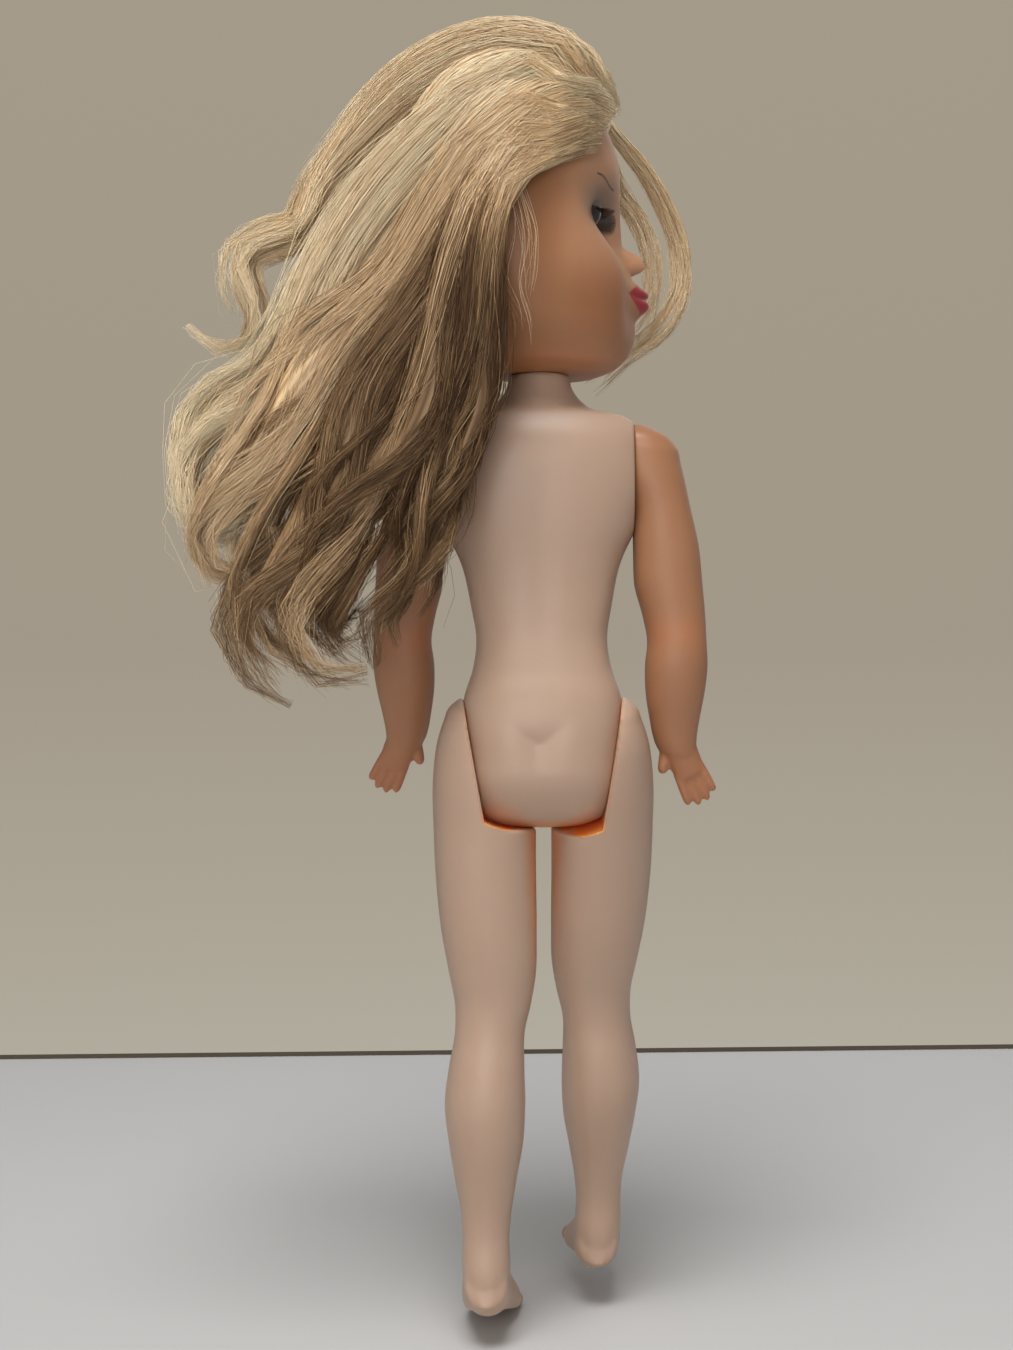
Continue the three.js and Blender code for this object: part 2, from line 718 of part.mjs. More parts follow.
function eyeWeight(centre) {
  const bobRadius = 3.2;
  const arm = [
    [new THREE.Vector3(0, eyeballBack + gap, 0), 1.4, 1.6],
    [new THREE.Vector3(0, eyeballBack + 4, -1.4), 1.4, 1.2],
    [new THREE.Vector3(0, eyeballBack + 8.5, -4.6), 1.4, 1.2],
  ];
  const bob = rod(bobRadius, -2.4, 2.4, sideways, new THREE.Vector3(0, eyeballBack + 9.4, -5.4), 16);
  const body = solid(carriedOval(arm, sideways, new THREE.Vector3(0, 0, 1), 8)).add(solid(bob));
  return geometryOf(body).translate(...centre.toArray());
}

// A thin fan of lashes standing off the eyeball's lid edge and curling up a little
function eyelash(centre) {
  const lift = radians(eyelashLift);
  const inner = eyeballRadius * Math.cos(lift) + gap;
  const outer = inner + eyelashLength;
  const spread = radians(20);
  const thickness = 0.5;
  const shape = new THREE.Shape();
  shape.absarc(0, 0, outer, -Math.PI / 2 - spread, -Math.PI / 2 + spread, false);
  shape.absarc(0, 0, inner, -Math.PI / 2 + spread, -Math.PI / 2 - spread, true);
  shape.closePath();
  const fan = new THREE.ExtrudeGeometry(shape, { depth: thickness, bevelEnabled: false, curveSegments: 5 });
  fan.translate(0, inner, -thickness / 2).rotateX(-radians(eyelashCurl)).translate(0, -inner, 0);
  fan.translate(0, 0, eyeballRadius * Math.sin(lift));
  return mergeVertices(fan.translate(...centre.toArray()));
}

// Hair: a cap close to the scalp, and locks carried along curves
function crownSkin(extra) {
  return solid(headSkin(crownThickness + extra, 22, 1, false));
}

function crown() {
  const hairline = new THREE.Vector3(0, -headFront, headBase + 0.8 * headHeight);
  const faceSide = new THREE.Vector3(0, -0.7, -0.72).normalize();
  const ear = new THREE.Vector3(0, 0.15 * headDepth, headBase + 0.74 * headHeight);
  const beforeEar = halfSpace(ear, new THREE.Vector3(0, -1, 0));
  const belowTemple = halfSpace(ear, new THREE.Vector3(0, 0, -1));
  return crownSkin(0)
    .subtract(solid(headSkin(gap + crownSlack, 22, 1, false)))
    .subtract(halfSpace(hairline, faceSide))
    .subtract(beforeEar.intersect(belowTemple));
}

// A lock along a curve through its places, with a thickness at each and waves that grow to the tip
function lock(places, radii, wave, extra) {
  const last = places.length - 1;
  const curve = new THREE.CatmullRomCurve3(places.map((p) => new THREE.Vector3(...p)));
  const steps = 2;
  const sides = 7;
  const depthwise = new THREE.Vector3(0, 1, 0);
  const rings = smoothRows(radii.map((radius, i) => [i, radius]), steps).map(([at, radius]) => {
    const share = at / last;
    const along = curve.getTangent(share);
    const across = new THREE.Vector3().crossVectors(depthwise, along).normalize();
    const through = new THREE.Vector3().crossVectors(along, across);
    const sway = wave.size * share * Math.sin(2 * Math.PI * (wave.count * share + wave.start));
    const place = moved(curve.getPoint(share), across, sway);
    const ring = [];
    for (let side = 0; side < sides; side++) {
      const angle = (side / sides) * 2 * Math.PI;
      const point = moved(place, across, (radius + extra) * Math.cos(angle));
      ring.push(point.addScaledVector(through, (radius * lockFlatness + extra) * Math.sin(angle)));
    }
    return ring;
  });
  return solid(loft(rings));
}

// Guides of the long hair: sideways, backwards and up from the underside of the head
const lockFlatness = 0.8;
const fanGuides = {
  upper: [
    [4, 4, 100], [33, 8, 95], [59, 12, 73], [75, 16, 44],
    [86, 20, 16], [100, 22, -8], [113, 24, -32], [106, 26, -57],
  ],
  middle: [
    [0, 12, 96], [19, 26, 76], [39, 32, 44], [51, 34, 10],
    [65, 34, -24], [75, 34, -56], [76, 32, -82], [66, 31, -98],
  ],
  inner: [
    [-6, 32, 76], [8, 41, 52], [18, 43, 18], [28, 39, -14],
    [38, 35, -44], [45, 33, -70], [48, 32, -86], [52, 31, -96],
  ],
};
const fanRadii = [9, 10.5, 11.5, 11.5, 11.5, 11, 9, 4];
const fanCount = 8;
const fanWave = { size: 6, count: 1.4 };
const curlPlaces = [
  [38, 15, 92], [61, 17, 71], [75, 18, 52], [87, 19, 43], [98, 19, 40],
  [102, 20, 32], [100, 21, 22], [107, 21, 15], [114, 22, 14],
];
const curlRadii = [7, 9, 9, 8, 7, 6, 5, 4, 2.4];
const frontPlaces = [
  [-18, -22, 98], [-36, -36, 84], [-52, -42, 56],
  [-55, -42, 30], [-46, -38, 10], [-36, -34, 4],
];
const frontRadii = [5, 6.4, 7.4, 7, 6, 3];
const still = { size: 0, count: 0, start: 0 };

const fromHeadBase = (places) => places.map(([x, y, z]) => [x, y, z + headBase]);

// One lock of the fan: its places slide from the upper guide over the middle one to the inner one
function fanLock(number, extra = 0) {
  const share = number / (fanCount - 1);
  const places = fanGuides.middle.map((middle, i) =>
    middle.map((value, axis) => {
      const upper = fanGuides.upper[i][axis];
      const inner = fanGuides.inner[i][axis];
      return share < 0.5
        ? THREE.MathUtils.lerp(upper, value, 2 * share)
        : THREE.MathUtils.lerp(value, inner, 2 * share - 1);
    }),
  );
  return lock(fromHeadBase(places), fanRadii, { ...fanWave, start: number * 0.37 }, extra);
}

const fanLocks = (numbers, extra) =>
  numbers.map((number) => fanLock(number, extra)).reduce((all, next) => all.add(next));

// Assembly
const torsoGroup = new THREE.Group();
const headGroup = new THREE.Group();
headGroup.rotation.z = -radians(headTurn);
doll.add(torsoGroup, headGroup);
addPiece(torsoGroup, "torso", torso(), palePlastic);

const leftLeg = leg();
const leftPlug = hipPlug();
const leftArm = arm();
const rightHip = otherSide(hipCentre);

// A group that swings its pieces forwards about a joint, with a function that puts a piece in it
function swing(joint, outward, degrees) {
  const group = new THREE.Group();
  group.position.copy(joint);
  group.quaternion.setFromAxisAngle(outward, radians(degrees));
  doll.add(group);
  return (name, geometry, material) =>
    addPiece(group, name, geometry.translate(-joint.x, -joint.y, -joint.z), material);
}

const onRightHip = swing(rightHip, otherSide(hipOutward), rightLegSwing);
const onLeftShoulder = swing(shoulderCentre, otherSide(shoulderOutward), leftArmSwing);
addPiece(torsoGroup, "left_leg", leftLeg, palePlastic);
addPiece(torsoGroup, "left_hip_plug", leftPlug, housingPlastic);
onRightHip("right_leg", mirrored(leftLeg), palePlastic);
onRightHip("right_hip_plug", mirrored(leftPlug), housingPlastic);
addPiece(torsoGroup, "right_arm", mirrored(leftArm), vinyl);
onLeftShoulder("left_arm", leftArm, vinyl);

addPiece(headGroup, "head", head(), vinyl);
for (const [side, centre] of [["left", eyeCentre], ["right", otherSide(eyeCentre)]]) {
  const housing = solid(eyeHousing(centre)).subtract(pinBore(centre));
  addPiece(headGroup, `${side}_eye_housing`, geometryOf(housing), housingPlastic);
  addPiece(headGroup, `${side}_eyeball`, eyeball(centre), eyeWhite);
  addPiece(headGroup, `${side}_iris`, iris(centre), irisColour);
  addPiece(headGroup, `${side}_eye_pin`, eyePin(centre), steel);
  addPiece(headGroup, `${side}_eye_weight`, eyeWeight(centre), steel);
  addPiece(headGroup, `${side}_eyelash`, eyelash(centre), lashFibre);
}
addPiece(headGroup, "hair_crown", geometryOf(crown()), hairFibre);

// The long locks lie in the doll's own frame, cut back from the turned head and its crown
const turnedHead = geometryOf(crownSkin(gap)).rotateZ(-radians(headTurn));
const headRoom = solid(turnedHead);
const curlLock = (extra) => lock(fromHeadBase(curlPlaces), curlRadii, still, extra);
const backNumbers = [0, 1, 2];
const lowNumbers = [3, 4, 5];
const sideNumbers = [6, 7];
const longLocks = {
  hair_back_fall: fanLocks(backNumbers, 0),
  hair_low_fall: fanLocks(lowNumbers, 0).subtract(fanLocks(backNumbers, gap)),
  hair_side_fall: fanLocks(sideNumbers, 0).subtract(fanLocks([...backNumbers, ...lowNumbers], gap)),
  hair_swept_curl: curlLock(0).subtract(fanLocks(backNumbers, gap)).subtract(fanLocks(lowNumbers, gap)),
  hair_front_lock: lock(fromHeadBase(frontPlaces), frontRadii, still, 0),
};
for (const [name, body] of Object.entries(longLocks)) {
  addPiece(doll, name, geometryOf(body.subtract(headRoom)), hairFibre);
}

// The origin is the middle of the doll's box, at the level of its lowest toes
doll.updateMatrixWorld(true);
const box = new THREE.Box3().setFromObject(doll, true);
doll.position.set(-(box.min.x + box.max.x) / 2, -(box.min.y + box.max.y) / 2, -box.min.z);

export default doll;
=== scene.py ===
# %% [markdown]
# # A jointed girl doll with long swept hair
# The doll stands with its back to the camera and its head turned to its own right. The packed
# model holds the exact joints, walls and bores. This lesson gives each piece its finished skin:
# smooth blow-moulded body and legs, soft vinyl arms and head with a painted face, sleep eyes
# with lashes, and hair made of many fine strands.

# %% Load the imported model
import json
import math
from collections import namedtuple

import bpy
import numpy as np
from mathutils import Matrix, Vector


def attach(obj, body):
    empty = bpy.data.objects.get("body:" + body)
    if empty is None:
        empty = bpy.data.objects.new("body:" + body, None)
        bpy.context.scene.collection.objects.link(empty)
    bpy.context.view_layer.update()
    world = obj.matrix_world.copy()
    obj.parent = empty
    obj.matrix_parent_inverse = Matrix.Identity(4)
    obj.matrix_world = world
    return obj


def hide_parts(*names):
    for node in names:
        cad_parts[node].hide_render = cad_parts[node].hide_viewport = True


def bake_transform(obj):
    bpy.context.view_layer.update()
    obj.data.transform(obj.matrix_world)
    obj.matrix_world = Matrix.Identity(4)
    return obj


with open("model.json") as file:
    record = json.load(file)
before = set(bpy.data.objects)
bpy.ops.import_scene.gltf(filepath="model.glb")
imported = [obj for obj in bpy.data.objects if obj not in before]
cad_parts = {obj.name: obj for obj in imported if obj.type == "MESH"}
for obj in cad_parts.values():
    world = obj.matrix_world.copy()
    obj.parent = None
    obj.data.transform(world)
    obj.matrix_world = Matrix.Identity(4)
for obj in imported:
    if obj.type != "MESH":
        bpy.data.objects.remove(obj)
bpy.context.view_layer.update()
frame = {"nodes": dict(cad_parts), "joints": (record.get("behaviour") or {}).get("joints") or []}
joints = {joint["name"]: joint for joint in frame["joints"]}

# %% [markdown]
# ## One set of axes for every piece
# Sizes below are in millimetres from the middle of the doll between its feet: x to the doll's
# left, y behind it and z up. The neck's joint gives where that point is in the shared frame, so a
# new pack that moves the box moves every piece with it.

# %% From doll millimetres to the shared frame
mm = 0.001
neck_place = np.array(joints["neck_turn"]["pos_m"])
doll_middle = neck_place * np.array([1, 1, 0])
hip_height = joints["left_hip"]["pos_m"][2] / mm
shoulder_height = joints["left_shoulder"]["pos_m"][2] / mm
head_base = neck_place[2] / mm
trunk_length = shoulder_height - hip_height
random_source = np.random.default_rng(7)


def in_frame(points):
    """Doll millimetres times 0.001, plus the place of the doll's middle."""
    return np.asarray(points, float) * mm + doll_middle


print("hips, shoulders and head start at", hip_height, shoulder_height, head_base, "mm")

# %% [markdown]
# ## Camera, floor and light
# The doll was seen square from behind, from about 0.6 m away, so the camera looks level along -Y.
# A pale floor ends beyond the doll, and the warm grey of the world stands for the wall. One large
# soft lamp hangs above and behind the camera, as a ceiling lamp does. A weaker one beside the camera
# reaches under the head, a faint one lights the far side, and the world fills the rest.

# %% Camera
picture_height = 1350
focal_pixels = 1750
camera_data = bpy.data.cameras.new("camera")
camera_data.sensor_width = 36
camera_data.lens = camera_data.sensor_width * focal_pixels / picture_height
camera = bpy.data.objects.new("camera", camera_data)
bpy.context.scene.collection.objects.link(camera)
camera_x, camera_distance, camera_rise = 12.5, 616, 30
camera.location = in_frame([camera_x, camera_distance, hip_height + camera_rise])
camera_roll = math.radians(0.6)
camera.rotation_euler = (math.radians(90), camera_roll, math.radians(180))
bpy.context.scene.camera = camera
bpy.context.scene.view_settings.view_transform = "Standard"
print("camera at", tuple(camera.location))

# %% Node helpers for the finishes


class Shading:
    """The nodes of a material or of the world, with one short call for each kind used below."""

    def __init__(self, owner, shader="Principled BSDF"):
        owner.use_nodes = True
        self.owner = owner
        self.nodes = owner.node_tree.nodes
        self.links = owner.node_tree.links
        self.shader = self.nodes[shader]

    def put(self, socket, value):
        """Feeds a socket from another node, or sets it to a number or a colour."""
        if isinstance(value, bpy.types.NodeSocket):
            self.links.new(value, socket)
        elif socket.type == "RGBA":
            socket.default_value = (*value, 1)
        else:
            socket.default_value = value

    def surface(self, inputs):
        """Feeds the shader's own sockets, given by name."""
        for name, value in inputs.items():
            self.put(self.shader.inputs[name], value)

    def new_node(self, kind, inputs):
        """A node with its sockets fed by name or number."""
        node = self.nodes.new(kind)
        for socket, value in inputs.items():
            self.put(node.inputs[socket], value)
        return node

    def ramp(self, factor, stops):
        """A colour ramp: each stop is a position and a colour."""
        node = self.new_node("ShaderNodeValToRGB", {"Fac": factor})
        elements = node.color_ramp.elements
        while len(elements) < len(stops):
            elements.new(0.5)
        for element, (position, colour) in zip(elements, stops):
            element.position = position
            element.color = (*colour, 1)
        return node.outputs["Color"]

    def noise(self, scale, detail=3.0):
        """Noise on the piece's own Object coordinates."""
        place = self.nodes.new("ShaderNodeTexCoord").outputs["Object"]
        inputs = {"Vector": place, "Scale": scale, "Detail": detail}
        return self.new_node("ShaderNodeTexNoise", inputs).outputs["Fac"]

    def value(self, name):
        """The value of a point attribute of the piece."""
        node = self.nodes.new("ShaderNodeAttribute")
        node.attribute_name = name
        return node.outputs["Fac"]

    def mapped(self, value, low, high, to_low, to_high):
        """A straight map of a value from one span to another, held at its ends."""
        spans = {"From Min": low, "From Max": high, "To Min": to_low, "To Max": to_high}
        return self.new_node("ShaderNodeMapRange", {"Value": value, **spans}).outputs["Result"]

    def mixed(self, factor, first, second, blend="MIX"):
        """Two colours mixed by a factor."""
        mix = self.nodes.new("ShaderNodeMix")
        mix.data_type = "RGBA"
        mix.blend_type = blend
        for place, value in ((0, factor), (6, first), (7, second)):
            self.put(mix.inputs[place], value)
        return mix.outputs[2]

    def bump(self, height, strength, distance):
        """Tilts the shading by a height."""
        inputs = {"Height": height, "Strength": strength, "Distance": distance}
        self.surface({"Normal": self.new_node("ShaderNodeBump", inputs).outputs["Normal"]})


def new_finish(name):
    """A new material with its nodes, ready to be fed."""
    return Shading(bpy.data.materials.new(name))


# %% Floor
paper = new_finish("paper_floor")
paper_colour = paper.mixed(paper.noise(3.0), (0.53, 0.53, 0.53), (0.56, 0.56, 0.56))
paper.surface({"Base Color": paper_colour, "Roughness": 0.9})
# The dark strip standing at the floor's back edge is a painted shadow where the wall meets the floor.
wall_base_shadow = new_finish("painted_wall_base_shadow")
wall_base_shadow.surface({"Base Color": (0.09, 0.07, 0.05), "Roughness": 0.9})
floor_mesh = bpy.data.meshes.new("floor")
floor_beyond, half_floor, shadow_strip_height = 0.469, 4, 0.0028
floor_back_edge = doll_middle[1] - floor_beyond
floor_mesh.from_pydata(
    [
        (-half_floor, floor_back_edge, 0),
        (half_floor, floor_back_edge, 0),
        (half_floor, half_floor, 0),
        (-half_floor, half_floor, 0),
        (-half_floor, floor_back_edge, shadow_strip_height),
        (half_floor, floor_back_edge, shadow_strip_height),
    ],
    [],
    [(0, 1, 2, 3), (0, 4, 5, 1)],
)
floor_mesh.materials.append(paper.owner)
floor_mesh.materials.append(wall_base_shadow.owner)
floor_mesh.polygons[1].material_index = 1
floor = bpy.data.objects.new("floor", floor_mesh)
bpy.context.scene.collection.objects.link(floor)
print("floor ends at y =", round(floor_back_edge, 3), "m")

# %% World and lamps
# Camera and transmission rays see the wall with painted light: lighter towards the floor and darker
# higher up. Every other ray meets an even fill.
world = bpy.data.worlds.new("studio")
bpy.context.scene.world = world
studio = Shading(world, "Background")
looking = studio.nodes.new("ShaderNodeTexCoord").outputs["Generated"]
looking_parts = studio.new_node("ShaderNodeSeparateXYZ", {0: looking})
wall_with_painted_light = studio.ramp(
    studio.mapped(looking_parts.outputs["Z"], -0.25, 0.35, 0, 1),
    [
        (0.0, (0.46, 0.43, 0.36)),
        (0.25, (0.40, 0.36, 0.29)),
        (0.45, (0.36, 0.315, 0.25)),
        (1.0, (0.37, 0.325, 0.252)),
    ],
)
studio.surface({"Color": wall_with_painted_light})
fill = studio.new_node("ShaderNodeBackground", {"Color": (1.0, 0.97, 0.94), "Strength": 0.24})
ray_kind = studio.nodes.new("ShaderNodeLightPath").outputs
seen_rays = {0: ray_kind["Is Camera Ray"], 1: ray_kind["Is Transmission Ray"]}
seen = studio.new_node("ShaderNodeMath", seen_rays)
seen.operation = "MAXIMUM"
both_tones = {0: seen.outputs[0], 1: fill.outputs[0], 2: studio.shader.outputs[0]}
world_mix = studio.new_node("ShaderNodeMixShader", both_tones)
studio.put(studio.nodes["World Output"].inputs["Surface"], world_mix.outputs[0])


def add_lamp(name, place, size, power, colour):
    """A square soft lamp that points at the doll's chest."""
    data = bpy.data.lights.new(name, "AREA")
    data.size = size
    data.energy = power
    data.color = colour
    lamp = bpy.data.objects.new(name, data)
    bpy.context.scene.collection.objects.link(lamp)
    lamp.location = in_frame(place)
    chest = Vector(in_frame([0, 0, hip_height + 55]))
    lamp.rotation_euler = (chest - lamp.location).to_track_quat("-Z", "Y").to_euler()


add_lamp("ceiling_lamp", [180, 780, 1850], 0.9, 31.0, (1.0, 0.985, 0.965))
add_lamp("camera_side_lamp", [200, 1300, 430], 0.8, 5.5, (1.0, 0.975, 0.95))
add_lamp("front_lamp", [-400, -900, 800], 0.9, 1.5, (1.0, 0.97, 0.93))
print("three soft lamps and an even fill")

# %% [markdown]
# ## Surfaces from tables of sections
# A body like this is described well by level sections: at each height a half width, a front depth
# and a back depth. A smooth curve joins the rows, and each section is a rounded oval. Extruding and
# sculpting would also work, but a table keeps the sizes in one place and can be read against the
# real doll.

# %% Smooth tables and rings


def smooth_rows(rows, at):
    """Cubic pieces between the rows whose slopes are the finite differences of their neighbours.
    The first column is the place along the table, and `at` lists the places to read."""
    rows = np.array(rows, float)
    places = rows[:, 0]
    slopes = np.gradient(rows, places, axis=0)
    at = np.asarray(at, float)
    first = np.clip(np.searchsorted(places, at, side="right") - 1, 0, len(places) - 2)
    step = (places[first + 1] - places[first])[:, None]
    s = (at - places[first])[:, None] / step
    start = (1 + 2 * s) * (1 - s) ** 2 * rows[first] + s * (1 - s) ** 2 * step * slopes[first]
    end = s**2 * (3 - 2 * s) * rows[first + 1] + s**2 * (s - 1) * step * slopes[first + 1]
    return start + end


def rounded(value, power):
    """Sign of the value times its size to the power 2/p, the rule of a squared-off oval."""
    return np.sign(value) * np.abs(value) ** (2 / power)


def level_rings(rows, sides, crowding=0.0, front_power=None):
    """Rows of height, centre x, centre y, half width, front, back and power become rings:
    x = cx + w*rounded(cos), y = cy + d*rounded(sin), with d the front or back depth. The front
    half may have its own power."""
    height, centre_x, centre_y, width, front, back, power = np.array(rows, float).T[:, :, None]
    even = np.linspace(0, 2 * np.pi, sides, endpoint=False)
    angle = even - crowding * np.cos(even)
    in_front = np.sin(angle) < 0
    depth = np.where(in_front, front, back)
    if front_power:
        power = np.where(in_front, front_power, power)
    x = centre_x + width * rounded(np.cos(angle), power)
    y = centre_y + depth * rounded(np.sin(angle), power)
    return np.stack([x, y, np.broadcast_to(height, x.shape)], axis=-1)


def oval_rings(places, across, through, half_across, half_through, sides):
    """An oval carried along a path: p = place + a*cos*across + b*sin*through."""
    angle = np.linspace(0, 2 * np.pi, sides, endpoint=False)
    wide = np.cos(angle)[None, :, None] * np.asarray(across, float)
    deep = np.sin(angle)[None, :, None] * np.asarray(through, float)
    half_across = np.asarray(half_across, float)[:, None, None]
    half_through = np.asarray(half_through, float)[:, None, None]
    return np.asarray(places, float)[:, None, :] + wide * half_across + deep * half_through


# %% Soft limits, bells and steps


def soft_least(a, b, reach):
    """The smaller of a and b, with the corner between them rounded over the reach."""
    share = np.clip(0.5 + 0.5 * (b - a) / reach, 0, 1)
    return b * (1 - share) + a * share - reach * share * (1 - share)


def bell(distance, reach):
    """The bell curve exp(-d*d / (2*r*r))."""
    return np.exp(-0.5 * (np.asarray(distance) / reach) ** 2)


def smooth_step(value, low, high):
    """0 below low, 1 above high and an S-curve between them."""
    share = np.clip((np.asarray(value, float) - low) / (high - low), 0, 1)
    return share * share * (3 - 2 * share)


def unit(vectors):
    """Vectors divided by their lengths."""
    return vectors / np.maximum(np.linalg.norm(vectors, axis=-1, keepdims=True), 1e-9)


# %% Meshes from grids


def grid_faces(rings, sides):
    """Quads between neighbouring rings, and a fan of triangles to a pole at each end."""
    ring, side = np.meshgrid(np.arange(rings - 1), np.arange(sides), indexing="ij")
    here = ring * sides + side
    after = ring * sides + (side + 1) % sides
    quads = np.stack([here, after, after + sides, here + sides], axis=-1).reshape(-1, 4)
    around = np.arange(sides)
    ahead = (around + 1) % sides
    low_pole, high_pole = rings * sides, rings * sides + 1
    last = (rings - 1) * sides
    low_fan = np.stack([np.full(sides, low_pole), ahead, around], axis=-1)
    high_fan = np.stack([np.full(sides, high_pole), last + around, last + ahead], axis=-1)
    return quads, np.concatenate([low_fan, high_fan])


def closed_skin(rings):
    """A closed skin over the rings: its points, quads and end triangles, facing outwards."""
    count, sides = rings.shape[:2]
    poles = np.stack([rings[0].mean(axis=0), rings[-1].mean(axis=0)])
    points = np.concatenate([rings.reshape(-1, 3), poles])
    quads, fans = grid_faces(count, sides)
    corners = points[quads]
    volume = np.sum(corners[:, 0] * np.cross(corners[:, 1], corners[:, 2]))
    volume += np.sum(corners[:, 0] * np.cross(corners[:, 2], corners[:, 3]))
    if volume < 0:
        quads, fans = quads[:, ::-1], fans[:, ::-1]
    return points, quads, fans


def joined(skins):
    """Several closed skins as one set of points and faces."""
    shift, points, quads, fans = 0, [], [], []
    for skin_points, skin_quads, skin_fans in skins:
        points.append(skin_points)
        quads.append(skin_quads + shift)
        fans.append(skin_fans + shift)
        shift += len(skin_points)
    return np.concatenate(points), np.concatenate(quads), np.concatenate(fans)


# %% Pieces in the shared frame


def add_piece(name, points, quads, fans, finish=None, values=None):
    """Puts arrays into a new mesh in the shared frame, with one number per point for each name."""
    mesh = bpy.data.meshes.new(name)
    mesh.vertices.add(len(points))
    mesh.vertices.foreach_set("co", in_frame(points).astype(np.float32).ravel())
    corners = np.concatenate([quads.ravel(), fans.ravel()]).astype(np.int32)
    mesh.loops.add(len(corners))
    mesh.loops.foreach_set("vertex_index", corners)
    starts = np.concatenate([np.arange(len(quads)) * 4, len(quads) * 4 + np.arange(len(fans)) * 3])
    mesh.polygons.add(len(starts))
    mesh.polygons.foreach_set("loop_start", starts.astype(np.int32))
    mesh.polygons.foreach_set("use_smooth", np.ones(len(starts), bool))
    mesh.update(calc_edges=True)
    for value_name, numbers in (values or {}).items():
        attribute = mesh.attributes.new(value_name, "FLOAT", "POINT")
        attribute.data.foreach_set("value", np.asarray(numbers, np.float32))
    if finish:
        mesh.materials.append(finish.owner)
    piece = bpy.data.objects.new(name, mesh)
    bpy.context.scene.collection.objects.link(piece)
    print(name, "has", 2 * len(quads) + len(fans), "triangles")
    return piece


def fused(skins, voxel, rounds):
    """Melts overlapping closed skins into one: a voxel remesh, then a few rounds of smoothing.
    Gives back its points in doll millimetres and its faces."""
    rough = add_piece("rough_form", *joined(skins))
    remesh = rough.modifiers.new("melt", "REMESH")
    remesh.mode = "VOXEL"
    remesh.voxel_size = voxel * mm
    ease = rough.modifiers.new("ease", "SMOOTH")
    ease.factor = 0.5
    ease.iterations = rounds
    graph = bpy.context.evaluated_depsgraph_get()
    mesh = bpy.data.meshes.new_from_object(rough.evaluated_get(graph))
    points = np.zeros(len(mesh.vertices) * 3, np.float32)
    mesh.vertices.foreach_get("co", points)
    points = (points.reshape(-1, 3).astype(float) - doll_middle) / mm
    corners = np.zeros(len(mesh.loops), np.int32)
    mesh.loops.foreach_get("vertex_index", corners)
    totals, starts = np.zeros((2, len(mesh.polygons)), np.int32)
    mesh.polygons.foreach_get("loop_total", totals)
    mesh.polygons.foreach_get("loop_start", starts)
    quads = corners[starts[totals == 4][:, None] + np.arange(4)]
    fans = corners[starts[totals == 3][:, None] + np.arange(3)]
    bpy.data.objects.remove(rough)
    bpy.data.meshes.remove(mesh)
    return points, quads, fans


# %% [markdown]
# ## The two body plastics
# The trunk and legs are blow-moulded in a thin, pale, slightly milky plastic: satin, with a faint
# cloudiness, and warmer where light soaks through at the joint faces; that glow is painted into the
# colour. The arms and head are a soft vinyl with a deeper peach colour. Both are Principled shaders
# with a little noise in colour, roughness and bump; a painted glow number on each point deepens the
# colour in the joints, standing for light that soaks through the plastic.

# %% Pale body plastic
pale_plastic = new_finish("pale_blown_plastic")
pale_cloud = pale_plastic.noise(28.0, 4.0)
# The painted glow number deepens the colour towards orange, as light soaking through the plastic would.
pale_painted_glow = pale_plastic.value("painted_glow")
pale_colour = pale_plastic.mixed(pale_cloud, (0.447, 0.306, 0.223), (0.477, 0.331, 0.245))
pale_plastic.surface({
    "Base Color": pale_plastic.mixed(pale_painted_glow, pale_colour, (0.80, 0.26, 0.05)),
    "Roughness": pale_plastic.mapped(pale_cloud, 0.3, 0.7, 0.36, 0.46),
    "Subsurface Weight": pale_plastic.mapped(pale_painted_glow, 0, 1, 0.35, 1.0),
    "Subsurface Radius": (0.007, 0.003, 0.0018),
    "Subsurface Scale": pale_plastic.mapped(pale_painted_glow, 0.3, 1, 1.0, 4.0),
})
pale_plastic.bump(pale_plastic.noise(900.0, 2.0), 0.05, 0.0003)

# %% Peach vinyl
# A deeper colour painted where light would soak through the vinyl: a painted glow.
vinyl_glow_colour = (0.56, 0.19, 0.08)
soaking = {
    "Subsurface Weight": 0.25,
    "Subsurface Radius": (0.006, 0.0025, 0.0015),
    "Subsurface Scale": 1.0,
}
peach_vinyl = new_finish("peach_vinyl")
vinyl_cloud = peach_vinyl.noise(24.0, 4.0)
vinyl_colour = peach_vinyl.mixed(vinyl_cloud, (0.35, 0.16, 0.078), (0.38, 0.18, 0.089))
peach_vinyl.surface({
    "Base Color": peach_vinyl.mixed(peach_vinyl.value("painted_glow"), vinyl_colour, vinyl_glow_colour),
    "Roughness": peach_vinyl.mapped(vinyl_cloud, 0.3, 0.7, 0.42, 0.52),
    **soaking,
})
peach_vinyl.bump(peach_vinyl.noise(1100.0, 2.0), 0.05, 0.0003)
print("two body finishes")

# %% [markdown]
# ## Torso
# The torso is one blow-moulded shell: a rounded pelvis, a waist, a chest trimmed flat at the
# armholes and at two slanted hip faces, and a flare up to the neck. The flat faces come from
# holding each ring's x inside a limit that depends on height, with the corner rounded a little as
# moulded edges are. A shallow V-shaped dimple sits low on the back.

# %% Where the torso meets its neighbours
hip_place = np.array(joints["left_hip"]["pos_m"]) / mm - doll_middle / mm
hip_axis = np.array(joints["left_hip"]["axis"])
hip_slope = abs(hip_axis[2] / hip_axis[0])
armhole_x = joints["left_shoulder"]["pos_m"][0] / mm - doll_middle[0] / mm
shoulder_top = shoulder_height + 20.2
pelvis_radius = 22.6
half_waist = 23.0
half_chest = armhole_x + 2.8
neck_radius = 10.4
half_pelvis, pelvis_front = 28, 22.2
boxy, round_section, limb_power = 2.5, 2.0, 2.1
torso_sides = 168


